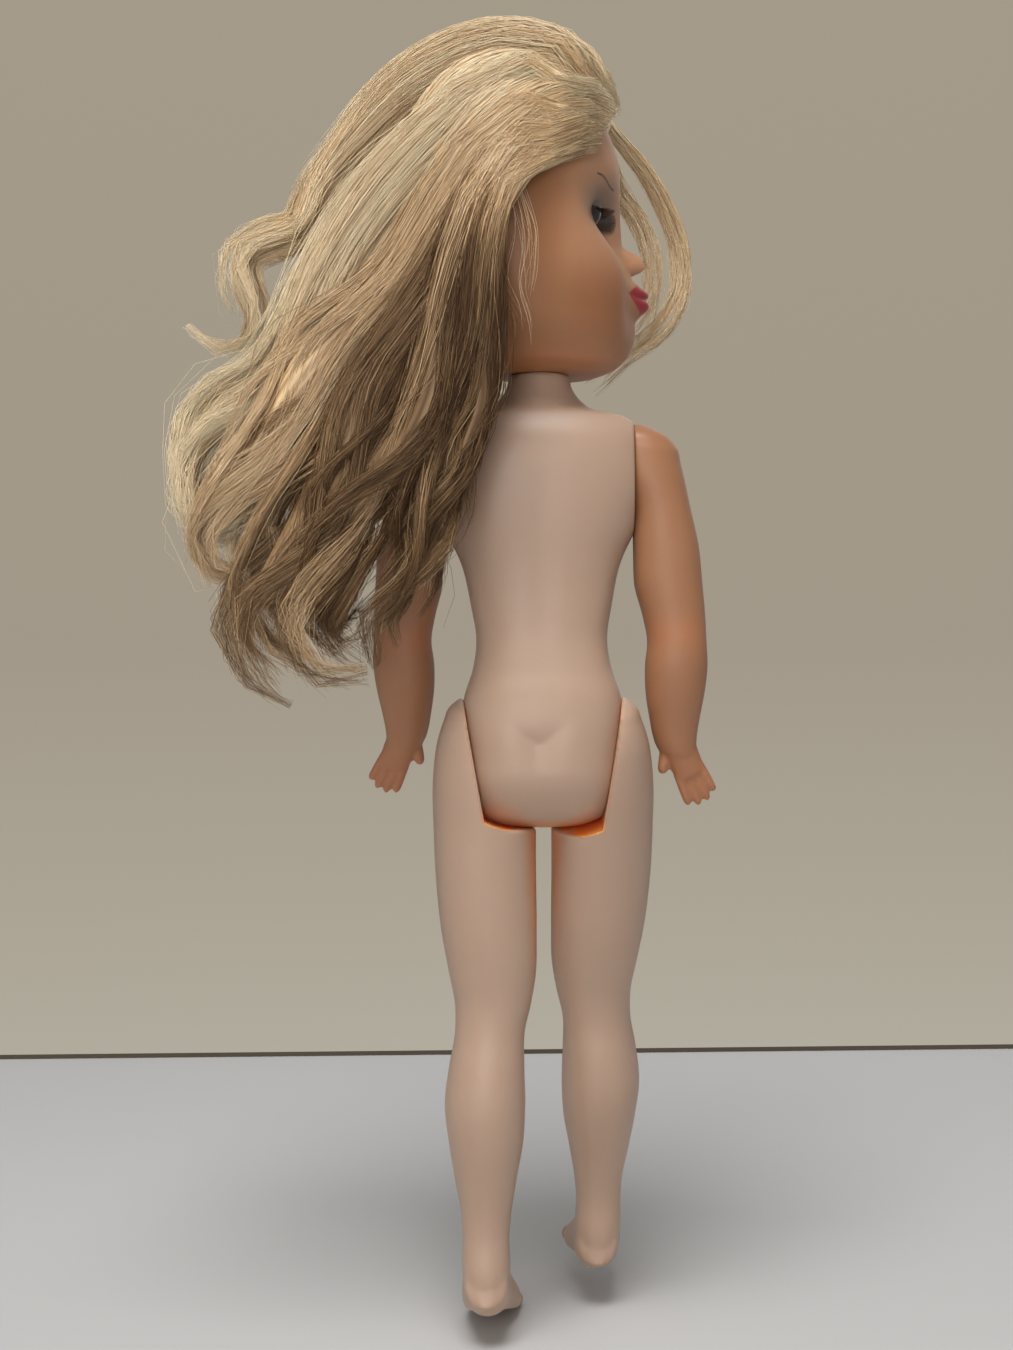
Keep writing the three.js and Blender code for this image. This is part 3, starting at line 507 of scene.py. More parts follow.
def hip_face_x(height):
    """x of the slanted hip face at a height."""
    return hip_place[0] + (height - hip_height) * hip_slope


def trunk(share):
    """Height at a share of the way from hip to shoulder."""
    return hip_height + share * trunk_length


print("armholes", round(armhole_x, 1), "mm and hip joints", round(hip_place[0], 1), "mm from the middle")

# %% Torso sections
# Each row is height, half width, front depth, back depth and the power of the section.
low_edge = hip_height - pelvis_radius - 1.1
pelvis_depth = hip_height - low_edge
pelvis_turns = np.radians([88, 80, 71, 61, 50, 38, 25, 12])
torso_table = [
    [
        hip_height - pelvis_depth * math.sin(turn),
        half_pelvis * (1 - math.sin(turn) ** 3) ** (1 / 3),
        pelvis_front * math.cos(turn),
        pelvis_radius * math.cos(turn),
        boxy,
    ]
    for turn in pelvis_turns
]
torso_table += [
    [hip_height, half_pelvis, pelvis_front, pelvis_radius, boxy],
    [trunk(0.12), half_pelvis + 0.5, 21.6, pelvis_radius, boxy],
    [trunk(0.22), half_pelvis - 0.6, 20.8, 20.8, boxy],
    [trunk(0.31), half_waist + 1.4, 19.4, 17.8, boxy],
    [trunk(0.4), half_waist, 18.6, 16, boxy],
    [trunk(0.53), half_waist + 1.8, 19.2, 16, boxy],
    [trunk(0.67), half_waist + 5, 20.6, 17.4, boxy],
    [trunk(0.8), half_chest - 3.4, 21.6, 19.4, boxy],
    [trunk(0.9), half_chest, 21.6, 20.6, boxy],
    [trunk(1.04), half_chest, 20, 20.8, boxy],
    [shoulder_top - 12.4, half_chest - 0.4, 18.8, 20.2, boxy],
    [shoulder_top - 9, half_chest - 1.4, 17.6, 19.2, boxy],
    [shoulder_top - 6.6, half_chest - 3.2, 16.6, 18.2, boxy],
    [shoulder_top - 4.6, half_chest - 5.2, 15.4, 17.2, boxy],
    [shoulder_top - 3, half_chest - 8.6, 14.4, 16.4, boxy],
    [shoulder_top - 1.8, half_chest - 14.5, 13.4, 15.6, boxy],
    [shoulder_top - 0.2, neck_radius + 8.3, 12.4, 14.4, round_section],
    [shoulder_top + 1.8, neck_radius + 5.4, 11.8, 13.2, round_section],
    [shoulder_top + 5.4, neck_radius + 2.2, neck_radius + 0.6, neck_radius + 1.4, round_section],
    [head_base - 0.35, neck_radius, neck_radius, neck_radius, round_section],
]
torso_rows = [[z, 0, 0, width, front, back, power] for z, width, front, back, power in torso_table]
print(len(torso_rows), "torso sections")

# %% Torso rings trimmed at the armholes and hips
low, high = torso_rows[0][0], torso_rows[-1][0]
torso_heights = np.concatenate(
    [np.linspace(low, low + 4, 16, endpoint=False), np.linspace(low + 4, high, 190)]
)
torso_rings = level_rings(smooth_rows(torso_rows, torso_heights), torso_sides)
torso_x, torso_y, torso_z = np.moveaxis(torso_rings, -1, 0)
edge_round = 0.3
right_arm_nearer = 2.2
armhole_limit = np.where(torso_x < 0, armhole_x - right_arm_nearer, armhole_x)
side_limit = soft_least(armhole_limit, hip_face_x(torso_z), 3.0)
trimmed_x = np.sign(torso_x) * soft_least(np.abs(torso_x), side_limit, edge_round)
torso_rings[..., 0] = np.where(np.abs(torso_x) > 2 * edge_round, trimmed_x, torso_x)
print(len(torso_rings), "torso rings")

# %% Dimple and spine on the back
dimple_x, dimple_height, dimple_reach = 1.8, hip_height + 5.6, 5.5
on_back = smooth_step(torso_y, 2, 8)
vee = torso_z - dimple_height - 0.74 * np.sqrt((torso_x - dimple_x) ** 2 + 1.5)
valley = np.exp(0.8 - np.sqrt(vee**2 + 0.64) / np.where(vee > 0, 5.0, 13.0))
dimple = valley * bell(torso_x - dimple_x, dimple_reach)
chest_low, chest_high = trunk(0.32), trunk(1.0)
spine = 0.5 * bell(torso_x, 3.5)
spine *= smooth_step(torso_z, chest_low, chest_low + 20)
spine *= 1 - smooth_step(torso_z, chest_high - 18, chest_high + 9)
torso_rings[..., 1] -= on_back * (dimple + spine)
print("dimple is", round(float(dimple.max()), 2), "mm deep")

# %% Neck knob and the finished torso
neck_knob = [[0, 8.85], [3, 8.85], [3.2, 11.2], [5.2, 11.4], [8, 8.4], [9.4, 2]]
knob_rows = [[head_base + up, 0, 0, radius, radius, radius, round_section] for up, radius in neck_knob]
torso_rings = np.concatenate([torso_rings, level_rings(knob_rows, torso_sides)])
torso_points, torso_quads, torso_fans = closed_skin(torso_rings)
height = torso_points[:, 2]
near_hip_face = bell(np.abs(torso_points[:, 0]) - hip_face_x(height), 0.5)
# Painted glow at the hip faces and along the torso's lowest edge, where light soaks through.
torso_painted_glow = 0.15 * near_hip_face * (height < hip_height + 26)
torso_painted_glow += 0.7 * (1 - smooth_step(height, low + 0.5, low + 4))
torso = add_piece(
    "torso_skin", torso_points, torso_quads, torso_fans, pale_plastic,
    {"painted_glow": np.clip(torso_painted_glow, 0, 1)},
)
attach(torso, "torso")
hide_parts("torso")

# %% [markdown]
# ## Legs
# Each leg is a blow-moulded tube with a moulded foot. Its top is a lens that lies against the
# slanted hip face, above a level ledge that clears the pelvis. The sections below the ledge are
# whole ovals; above it, the inner side of each oval is held clear of the pelvis and at the hip face.
# The foot and toes are their own rounded forms, melted into the ankle by a voxel remesh. Above the
# ankle the melted points are laid back on the exact ovals, which keeps the edges at the hip crisp.

# %% Leg sections
toes_down = math.radians(18)
toe_reach, heel_reach = 37.0, 6.0
heel_rise = (toe_reach + heel_reach) * math.sin(toes_down)
leg_base = heel_rise - 4.2
leg_length = hip_height - leg_base
inner_x = 2.8
half_thigh, half_knee, half_calf, half_ankle = 17.7, 12.5, 14.2, 8.3
foot_x = inner_x + half_calf + 4.8
lens = pelvis_radius - 0.6
ledge_height = low_edge - 0.2
ankle_joint = leg_base + 36
thigh_x = inner_x + half_thigh
leg_sides = 96
# Each row is a share of the leg's length, the centre's x, half width, front depth and back depth.
leg_table = [
    [0.04, foot_x, half_ankle - 0.4, 7, 10.6],
    [0.09, foot_x, half_ankle + 0.2, 9, 11],
    [0.148, foot_x, half_ankle, 9, 9.4],
    [0.19, foot_x - 0.2, half_ankle + 0.6, 9, 9.8],
    [0.25, foot_x - 0.2, half_ankle + 2.6, 9.6, 12],
    [0.32, foot_x - 0.4, half_calf - 1, 10.2, 15.2],
    [0.385, foot_x - 0.2, half_calf, 11, 16.6],
    [0.45, foot_x - 0.9, half_calf - 0.9, 12, 15.2],
    [0.515, foot_x - 2.2, half_knee - 0.2, 13.6, 12.4],
    [0.56, thigh_x - 2, half_knee + 0.8, 14.4, 12.2],
    [0.62, thigh_x - 2, half_thigh - 2.4, 15.4, 13.8],
    [0.69, thigh_x - 1, half_thigh - 1, 16.6, 15.8],
    [0.8, thigh_x, half_thigh, 18.4, 17.8],
    [0.88, thigh_x + 0.2, half_thigh + 0.3, 19.6, 19],
    [0.95, thigh_x + 0.3, half_thigh + 0.4, 20.4, 20.4],
    [1, thigh_x, half_thigh, 20.6, 20.8],
    [1 + lens * 0.33 / leg_length, thigh_x + 0.6, half_thigh - 1.8, 19.6, 19.8],
    [1 + lens * 0.64 / leg_length, thigh_x + 2, half_thigh - 5.4, 16, 16.2],
    [1 + lens * 0.88 / leg_length, thigh_x + 4.6, half_thigh - 10.4, 9.6, 9.6],
    [1 + lens / leg_length, thigh_x + 6, half_thigh - 15, 2, 2],
]
leg_rows = [
    [leg_base + share * leg_length, centre, 0, width, front, back, limb_power]
    for share, centre, width, front, back in leg_table
]
leg_low, leg_high = leg_rows[0][0], leg_rows[-1][0]
print(len(leg_rows), "leg sections")

# %% Leg surfaces


def turned_about(points, pivot, axis, degrees):
    """Rodrigues' rule: p*cos + (axis x p)*sin + axis*(axis.p)*(1 - cos), about a pivot."""
    axis = unit(np.asarray(axis, float))
    arm = points - pivot
    cosine, sine = math.cos(math.radians(degrees)), math.sin(math.radians(degrees))
    along = (arm @ axis)[:, None] * axis
    return pivot + arm * cosine + np.cross(axis, arm) * sine + along * (1 - cosine)


def leg_limit(heights):
    """The leg's inner limit above the ledge: clear of the pelvis's round corner and of the hip face."""
    flat = np.clip(np.ravel(heights), low_edge, None)
    pelvis = smooth_rows(torso_rows, flat)[:, 3].reshape(heights.shape)
    return np.minimum(hip_face_x(heights) + 0.08, pelvis + 0.5)


def leg_sections(heights):
    """The leg's table read at heights, held at its ends."""
    return smooth_rows(leg_rows, np.clip(heights, leg_low, leg_high))


def leg_tube():
    """Whole ovals up to the ledge, then ovals held outside the limit up to the lens top."""
    below = level_rings(leg_sections(np.linspace(leg_low, ledge_height, 150)), leg_sides)
    corner_heights = np.linspace(ledge_height + 0.15, low_edge + 6, 28)
    lens_heights = np.linspace(low_edge + 6.6, leg_high, 52)
    above = level_rings(leg_sections(np.concatenate([corner_heights, lens_heights])), leg_sides)
    above[..., 0] = -soft_least(-above[..., 0], -leg_limit(above[..., 2]), 0.2)
    return closed_skin(np.concatenate([below, above]))


def laid_on_tube(points):
    """Melted points scaled about the leg's middle line until they lie on its oval,
    (|x|/w)^p + (|y|/d)^p = 1, from the ankle up; above the ledge they also keep to the limit."""
    height = points[:, 2]
    rows = leg_sections(height)
    off_x, off_y = points[:, 0] - rows[:, 1], points[:, 1]
    depth = np.where(off_y < 0, rows[:, 4], rows[:, 5])
    size = np.abs(off_x / rows[:, 3]) ** limb_power + np.abs(off_y / depth) ** limb_power
    size = size ** (1 / limb_power)
    share = smooth_step(height, ankle_joint - 9, ankle_joint - 3) * (size > 0.85)
    share = share * smooth_step(np.abs(height - ledge_height), 0.4, 1.0)
    share = share * (1 - smooth_step(height, leg_high - 5, leg_high - 2))
    scale = 1 + share * (1 / np.maximum(size, 0.5) - 1)
    x, y = rows[:, 1] + off_x * scale, off_y * scale
    limit = leg_limit(height)
    on_face = (height > ledge_height + 0.6) & (x < limit + 0.7) & (height < leg_high - 1.5)
    return np.column_stack([np.where(on_face, limit, x), y, height])


# %% Foot
# Each row is the distance from the toes, half width, height, sideways drift and how far below its
# middle the oval is cut flat, as a share of its half height.
foot_length = toe_reach + 13
foot_table = [
    [0, 3.6, 5, -2, 0.5],
    [1.8, 7.2, 6.8, -2, 0.5],
    [6, 9.6, 9, -2, 0.5],
    [13, 10.6, 12, -1.6, 0.5],
    [21, 9.9, 16, -0.8, 0.55],
    [30, 8.8, 20, 0, 0.65],
    [38, 8.3, 22, 0, 0.8],
    [45, 7.8, 19.4, 0, 0.9],
    [48.6, 5.8, 14.6, 0, 0.9],
    [foot_length, 2.4, 9, 0, 0.9],
]
toe_sizes = [3.0, 2.3, 2.1, 2.0, 1.8]
toe_places = [-8.2, -3.4, 0.4, 3.9, 7.0]
toe_ends = [-36.4, -36.6, -35.4, -33.6, -31.2]


def ball_skin(centre, radii):
    """A ball pulled to three radii: rings of sin(v) at heights cos(v)."""
    turn = np.linspace(0.12, np.pi - 0.12, 14)[:, None]
    angle = np.linspace(0, 2 * np.pi, 20, endpoint=False)[None, :]
    x, y, z = np.sin(turn) * np.cos(angle), np.sin(turn) * np.sin(angle), -np.cos(turn)
    sphere = np.stack([x, y, np.broadcast_to(z, x.shape)], axis=-1)
    return closed_skin(sphere * np.asarray(radii) + np.asarray(centre))


def foot_forms():
    """A foot with a flat sole along -Y, an oval cut flat below, and five toes of shrinking size.
    Heel and toes are then tipped toes down: the foot is moulded for a heeled shoe."""
    sections = smooth_rows(foot_table, np.linspace(0, foot_length, 60))
    along, width, tall, drift, depth = sections.T[:, :, None]
    angle = np.linspace(0, 2 * np.pi, 60, endpoint=False)
    lift = np.maximum(np.sin(angle)[None, :], -depth)
    x = foot_x + drift + width * np.cos(angle)
    heel_round = smooth_step(along, 40, foot_length)
    z = tall * (lift + depth) / (1 + depth) + 0.8 * heel_round**2
    forms = [closed_skin(np.stack([x, np.broadcast_to(along - toe_reach, x.shape), z], axis=-1))]
    for size, place, end in zip(toe_sizes, toe_places, toe_ends):
        forms.append(ball_skin([foot_x - 2 + place, end + 1.5, size * 0.98], [size, size * 1.9, size]))
    forms.append(ball_skin([foot_x - 0.4, heel_reach - 1.4, 6.4], [8.2, 8.8, 8.2]))
    heel, lifted, tip = np.array([0, heel_reach, 0]), [0, 0, heel_rise], math.degrees(toes_down)
    return [
        (turned_about(points, heel, [1, 0, 0], tip) + lifted, quads, fans)
        for points, quads, fans in forms
    ]


# %% One leg melted together
leg_points, leg_quads, leg_fans = fused([leg_tube(), *foot_forms()], 0.7, 7)
leg_points = laid_on_tube(leg_points)
leg_points[:, 2] = np.maximum(leg_points[:, 2], 0)
print("one leg has", len(leg_points), "points")

# %% Both legs in place


def leg_painted_glow(points):
    """Painted glow: deeper colour on the ledge, the hip face and the inner thigh, where light soaks
    through.
    """
    height = points[:, 2]
    above_ledge = smooth_step(height, ledge_height - 0.3, ledge_height + 0.1)
    held = bell(points[:, 0] - leg_limit(height), 0.2) * above_ledge
    low_part = 1 - 0.75 * smooth_step(height, low_edge + 4, low_edge + 8)
    rows = leg_sections(height)
    inner = smooth_step((rows[:, 1] - points[:, 0]) / rows[:, 3], 0.7, 1.0) * (height < ledge_height)
    inner = 0.5 * inner * smooth_step(height, hip_height - 95, hip_height - 28)
    return np.clip(0.95 * held * low_part + inner, 0, 1)


right_leg_swing, foot_inwards = 12.0, 4.0
other_side = np.array([-1, 1, 1])
leg_glow_values = {"painted_glow": leg_painted_glow(leg_points)}
left_leg = add_piece("left_leg_skin", leg_points, leg_quads, leg_fans, pale_plastic, leg_glow_values)
right_points = turned_about(
    leg_points * other_side, hip_place * other_side, joints["right_hip"]["axis"], right_leg_swing
)
below_ledge = np.clip((ledge_height - right_points[:, 2]) / ledge_height, 0, 1)
right_points[:, 0] += foot_inwards * below_ledge**1.3
right_leg = add_piece(
    "right_leg_skin", right_points, leg_quads[:, ::-1], leg_fans[:, ::-1], pale_plastic, leg_glow_values
)
for leg, name in ((left_leg, "left_leg"), (right_leg, "right_leg")):
    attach(leg, name)
    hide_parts(name)

# %% [markdown]
# ## Arms
# The vinyl arms are slightly bent tubes with a flat face at the armhole. Each hand is a flat palm,
# four fingers and a thumb, melted together so that the fingers grow out of the palm with soft
# webs. The other arm is the same points with x turned round.

# %% Arm sections
# Each row is a share of the arm's length, the centre's distance from the armhole, half width, the
# centre's y and half depth.
arm_length = 96.0
half_upper_arm, half_forearm, half_wrist = 12.0, 11.0, 7.6
arm_table = [
    [1.09, 16.4, 2.4, -3.9, 2.2],
    [1.07, 15.8, half_wrist - 2.6, -3.7, 4.4],
    [1.03, 14.8, half_wrist - 0.6, -3.4, 6],
    [0.99, 14.3, half_wrist + 0.2, -3, 6.8],
    [0.93, 14.2, half_wrist + 1.2, -2.4, 7.9],
    [0.83, 14.4, half_forearm - 0.6, -1.4, 9.8],
    [0.73, 14.8, half_forearm, -0.4, 10.8],
    [0.64, 15, half_forearm - 0.6, 0.4, 10.4],
    [0.56, 14.2, half_forearm - 0.1, 0.4, 10.6],
    [0.43, 12.2, half_upper_arm, 0, 11.6],
    [0.29, 11.3, half_upper_arm - 0.3, 0, 11.8],
    [0.16, 9.8, half_upper_arm - 1.4, 0, 11.6],
    [0, 5, half_upper_arm + 0.2, 0, 11.6],
    [-0.07, 3, half_upper_arm + 0.4, 0, 10.4],
    [-0.12, 0.6, half_upper_arm - 2.2, 0, 7.8],
    [-0.15, -1, half_upper_arm - 7, 0, 3],
]
arm_rows = [
    [shoulder_height - share * arm_length, armhole_x + centre, y, width, depth, depth, limb_power]
    for share, centre, width, y, depth in arm_table
]
print(len(arm_rows), "arm sections")

# %% Arm tube and hand


def arm_tube():
    """The arm's ovals, held outside the armhole face."""
    rings = level_rings(smooth_rows(arm_rows, np.linspace(arm_rows[0][0], arm_rows[-1][0], 150)), 80)
    rings[..., 0] = -soft_least(-rings[..., 0], np.full(rings.shape[:2], -armhole_x - 0.1), 0.4)
    return closed_skin(rings)


def digit(root, direction, length, radius, bend):
    """A finger: a round section along a slightly bent path, with a rounded tip."""
    direction = unit(direction)
    share = np.concatenate([np.linspace(0, 0.8, 8), [0.88, 0.94, 0.98, 1.0]])
    taper_at, taper = [0, 0.5, 0.8, 0.88, 0.94, 0.98, 1], [1, 0.96, 0.88, 0.8, 0.64, 0.42, 0.2]
    size = radius * np.interp(share, taper_at, taper)
    bent = (share**2)[:, None] * np.asarray(bend, float)
    places = root + share[:, None] * length * direction + bent
    side = unit(np.cross(direction, [0, 1, 0]))
    return closed_skin(oval_rings(places, side, np.cross(side, direction), size, size, 16))


def hand_forms():
    """A palm turned a little outwards with four fingers and a thumb."""
    wrist = np.array([armhole_x + 14, -3, shoulder_height - arm_length])
    along = unit(np.array([0.42, -0.1, -0.9]))
    through = np.array([0.1, 0.99, -0.08])
    across = unit(np.cross(through, along))
    thumb_side = across if across[0] < 0 else -across
    palm_length = 14.0
    steps = np.array([-7, -4, 2, palm_length * 0.6, palm_length, palm_length + 1.6])
    half_palm, half_thick = [4, 5.8, 6.4, 6, 5.4, 4.2], [3.6, 5.4, 5.3, 4, 2.8, 1.6]
    palm = oval_rings(wrist + steps[:, None] * along, across, through, half_palm, half_thick, 32)
    forms = [closed_skin(palm)]
    for finger, length in enumerate([11.6, 13.6, 13.8, 12.2]):
        place = finger - 1.5
        root = wrist + (palm_length - 2) * along + place * 2.75 * across
        forms.append(digit(root, along + place * 0.06 * across, length, 1.75, [0, -1.2, 0]))
    thumb_root = wrist + 1.6 * along + 3.6 * thumb_side
    forms.append(digit(thumb_root, along + 0.75 * thumb_side, 9, 2.2, [0, 0, -0.8]))
    return forms


# %% Both arms in place
arm_points, arm_quads, arm_fans = fused([arm_tube(), *hand_forms()], 0.55, 8)
elbow_height = shoulder_height - 0.62 * arm_length
hand_share = smooth_step(shoulder_height - arm_points[:, 2], arm_length - 2, arm_length + 13)
# Painted glow at the elbow and on the hand, as light soaking through the vinyl.
arm_painted_glow = 0.25 * bell(arm_points[:, 2] - elbow_height, 4) + 0.2 * hand_share
arm_glow_values = {"painted_glow": np.clip(arm_painted_glow, 0, 1)}
shoulder_place = np.array([armhole_x, 0, shoulder_height])
left_arm_swing = 12.0
left_points = turned_about(arm_points, shoulder_place, joints["left_shoulder"]["axis"], left_arm_swing)
left_arm = add_piece("left_arm_skin", left_points, arm_quads, arm_fans, peach_vinyl, arm_glow_values)
right_points = arm_points * other_side + [right_arm_nearer, 0, 0]
right_arm = add_piece(
    "right_arm_skin", right_points, arm_quads[:, ::-1], arm_fans[:, ::-1], peach_vinyl, arm_glow_values
)
for arm, name in ((left_arm, "left_arm"), (right_arm, "right_arm")):
    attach(arm, name)
    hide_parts(name)

# %% [markdown]
# ## Head and face
# The head is a rotocast vinyl shell. Its sections come from a table, and the face is raised on it
# by bell-shaped bumps: nose, lips, chin and full cheeks, with hollows for the eyes. The openings
# are pits pushed back behind the sleep eyes. Numbers on each point say where the blush, lips, brow
# and eye shadow are sprayed, and where a painted light brightens the front of the face; the finish
# reads them.

# %% Head sections and the turn of the head
head_height, head_width, head_depth = 107.0, 72.0, 78.0
head_turn = -78.0
head_power, face_power = 2.15, 1.9
head_front, head_back = 0.41 * head_depth, 0.59 * head_depth
face = head_front - 2.8
half_head = head_width / 2
eye_height = joints["right_eye_sleep"]["pos_m"][2] / mm
eye_x = 0.425 * half_head
opening_height = eye_height - 3.4
# Each row is a share of the head's height, half width, front depth and back depth.
head_table = [
    [0, 15.8, 20.4, 15.8],
    [0.018, 21.6, 25.4, 20.2],
    [0.05, half_head - 10.2, face + 0.2, 24.8],
    [0.09, half_head - 7, face + 2, 29],
    [0.13, half_head - 4.9, face + 2.8, 32.6],
    [0.18, half_head - 3.2, face + 3, 36.2],
    [0.29, half_head - 0.8, face + 2.2, head_back - 4.8],
    [0.41, half_head, face + 0.6, head_back - 1.4],
    [0.55, half_head, face, head_back],
    [0.69, half_head - 1.6, face - 0.4, head_back - 1],
    [0.81, half_head - 5.6, face - 5.2, head_back - 5],
    [0.9, half_head - 12, face - 12.2, head_back - 12],
    [0.965, half_head - 21, face - 20.6, head_back - 22],
    [1, half_head - 31.4, face - 29.2, head_back - 34],
]


def level(share):
    """Height at a share of the head's height."""
    return head_base + share * head_height


head_rows = []
for share, width, front, back in head_table:
    depth = (back + front) / 2
    head_rows.append([level(share), 0, (back - front) / 2, width, depth, depth, head_power])
head_low, head_high = level(0), level(1)
print(len(head_rows), "head sections")

# %% Places on the head


def with_head(points):
    """Points of the head built facing -Y, turned with the head about the neck."""
    return turned_about(points, np.zeros(3), [0, 0, 1], head_turn)


def eye_centre(side):
    """Centre of a sleep eye in the head's own axes, from its joint."""
    name = "left_eye_sleep" if side > 0 else "right_eye_sleep"
    place = np.array(joints[name]["pos_m"]) / mm - doll_middle / mm
    return turned_about(place[None, :], np.zeros(3), [0, 0, 1], -head_turn)[0]


# %% Face relief
# Each bump is its name, its rise, how far from the middle, the share of the head's height, and its
# reach sideways and upwards. Hollows have a negative rise. Both sides of the face get each one.
face_bumps = [
    ("bridge of the nose", 1.0, 0, 0.45, 3.4, 8),
    ("nostrils", 1.0, 3.4, 0.358, 1.7, 2.0),
    ("mouth", 5.4, 0, 0.255, 6, 6.5),
    ("groove under the nose", -1.2, 0, 0.322, 3, 2),
    ("upper lip", 3.2, 0, 0.279, 4.4, 1.9),
    ("lower lip", 2.8, 0, 0.236, 4.0, 2.0),
    ("line between the lips", -1.3, 0, 0.259, 5.5, 0.7),
    ("chin", 2.2, 0, 0.115, 8, 6),
    ("hollow above the chin", -1.0, 0, 0.178, 6, 2),
    ("cheeks", 1.6, 17, 0.30, 9, 9),
    ("hollows beside the mouth", -1.7, 12.5, 0.26, 4, 9),
    ("outer eye hollows", -6.2, 22, 0.494, 6, 6.5),
    ("inner eye hollows", -6.5, 13, 0.43, 4.5, 5.5),
]


def spot(x, z, centre_x, centre_z, reach_x, reach_z):
    """A two-way bell bump."""
    return bell(x - centre_x, reach_x) * bell(z - centre_z, reach_z)


def face_rise(x, z):
    """The tip of the nose, exp(-d^4) about its middle, plus every bump, in mm towards the front."""
    nose_tip = ((x / 4.2) ** 2 + ((z - level(0.383)) / 4.2) ** 2) ** 2
    rise = 7.0 * np.exp(-nose_tip)
    for _, bump_rise, aside, share, reach_x, reach_z in face_bumps:
        rise = rise + bump_rise * spot(np.abs(x), z, aside, level(share), reach_x, reach_z)
    return rise


def eye_outline(x, z):
    """1 on the rim of the nearer eye opening, less inside it."""
    across = np.abs(np.abs(x) - eye_x) / 6.8
    up = z - opening_height
    tall = np.where(up > 0, up / 3.6, -up / 6.6)
    return (across**2.4 + tall**2.4) ** (1 / 2.4)


# %% Head skin with pits for the eyes
head_heights = np.linspace(head_low, head_high, 230)
head_rings = level_rings(smooth_rows(head_rows, head_heights), 250, 0.5, face_power)
head_x, head_y, head_z = np.moveaxis(head_rings, -1, 0)
in_front = head_y < 0
head_y = head_y - in_front * face_rise(head_x, head_z)
rim = eye_outline(head_x, head_z)
pit_floor = eye_centre(1)[1] + 1.5
pit = in_front * (1 - smooth_step(rim, 0.88, 1.04))
head_y = head_y + pit * np.maximum(pit_floor - head_y, 0)
head_rings = np.stack([head_x, head_y, head_z], axis=-1)
head_points, head_quads, head_fans = closed_skin(head_rings)
print(len(face_bumps), "bumps raise the face")

# %% Where the face is painted
skin_x, skin_y, skin_z = head_points.T
front_side = smooth_step(-skin_y, 0, 8)
side_x = np.abs(skin_x)
blush = front_side * spot(side_x, skin_z, 24, level(0.24), 12, 12)
# Painted light: the front of the face is lightened, most on the upper cheek and forehead, as if lit from
# the front.
painted_light_front = smooth_step(-skin_y, -9, 12) * (0.3 + 0.7 * smooth_step(skin_z, level(0.18), level(0.36)))
mouth, half_mouth = level(0.262), 11.0
lip_share = np.clip(side_x / half_mouth, 0, 1)
lip_top = mouth + 6.4 * (1 - lip_share**1.6) - 1.2 * bell(skin_x, 1.6)
lip_bottom = mouth - 6.6 * (1 - lip_share**2.2)
lip_field = np.minimum(lip_top - skin_z, skin_z - lip_bottom) - 4 * np.clip(side_x - half_mouth, 0, 9)
lip_field = np.where(skin_y < -20, lip_field, -9)
brow_middle = level(0.606) - 2.6 * smooth_step(25 - side_x, 0, 9)
brow_gap = np.hypot(skin_z - brow_middle, 3.0 * np.clip(np.abs(side_x - 21) - 5.5, 0, 9))
brow_gap = np.where(skin_y < -5, brow_gap, 9)
lid_shadow = front_side * spot(side_x, skin_z, eye_x + 4, level(0.535), 8.0, 7.0)
upper_rim = smooth_step(skin_z, opening_height - 5, opening_height - 1)
rim_dark = front_side * bell(eye_outline(skin_x, skin_z) - 0.98, 0.12) * upper_rim
head_values = {
    "blush": blush,
    "painted_light_front": painted_light_front,
    "lips": lip_field,
    "brow": brow_gap,
    "eye_shadow": np.clip(lid_shadow, 0, 1),
    "rim_dark": rim_dark,
    # Painted glow along the bottom of the head, next to the neck.
    "painted_glow": 0.25 * (1 - smooth_step(skin_z, head_base, head_base + 10)),
}
print("paint on the head:", sorted(head_values))

# %% Painted vinyl of the head
# Each spray is the name of its values, the span read from them, the share of paint at each end of
# that span and the colour of the paint.
face_paint = new_finish("painted_vinyl")
# The head's base colour is darker than the arms' vinyl: partly its own deeper tone, partly a painted
# shade of the hair over the side of the head.
face_colour = face_paint.mixed(face_paint.noise(24.0, 4.0), (0.285, 0.116, 0.042), (0.31, 0.132, 0.05))
# The painted glow deepens the head's colour near the neck.
face_colour = face_paint.mixed(face_paint.value("painted_glow"), face_colour, vinyl_glow_colour)
sprays = [
    # Painted light on the front of the face.
    ("painted_light_front", (0, 1), (0, 0.75), (0.61, 0.33, 0.19)),
    ("blush", (0, 1), (0, 0.5), (0.30, 0.10, 0.034)),
    ("eye_shadow", (0.15, 1), (0, 0.75), (0.13, 0.105, 0.085)),
    ("rim_dark", (0.2, 0.9), (0, 0.9), (0.02, 0.014, 0.012)),
    ("brow", (0.2, 0.5), (0.85, 0), (0.055, 0.028, 0.018)),
    ("lips", (-0.25, 0.35), (0, 1), (0.33, 0.026, 0.034)),
]
for name, span, shares, paint in sprays:
    share = face_paint.mapped(face_paint.value(name), *span, *shares)
    face_colour = face_paint.mixed(share, face_colour, paint)
face_paint.surface({
    "Base Color": face_colour,
    "Roughness": face_paint.mapped(face_paint.value("lips"), -0.25, 0.35, 0.46, 0.28),
    **soaking,
})
face_paint.bump(face_paint.noise(1100.0, 2.0), 0.05, 0.0003)

head = add_piece("head_skin", with_head(head_points), head_quads, head_fans, face_paint, head_values)
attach(head, "head")
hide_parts("head")

# %% [markdown]
# ## Sleep eyes
# Each eye is a glossy ball that rolls on a pin. Its front carries the iris, its outer corner is
# painted dark as a painted shade of the lashes and lid, and its upper part has the colour of a
# shaded lid and comes into view when it rolls down. A row of bristle lashes stands on the edge of
# the lid. The ball is a sphere worked out from two angles.

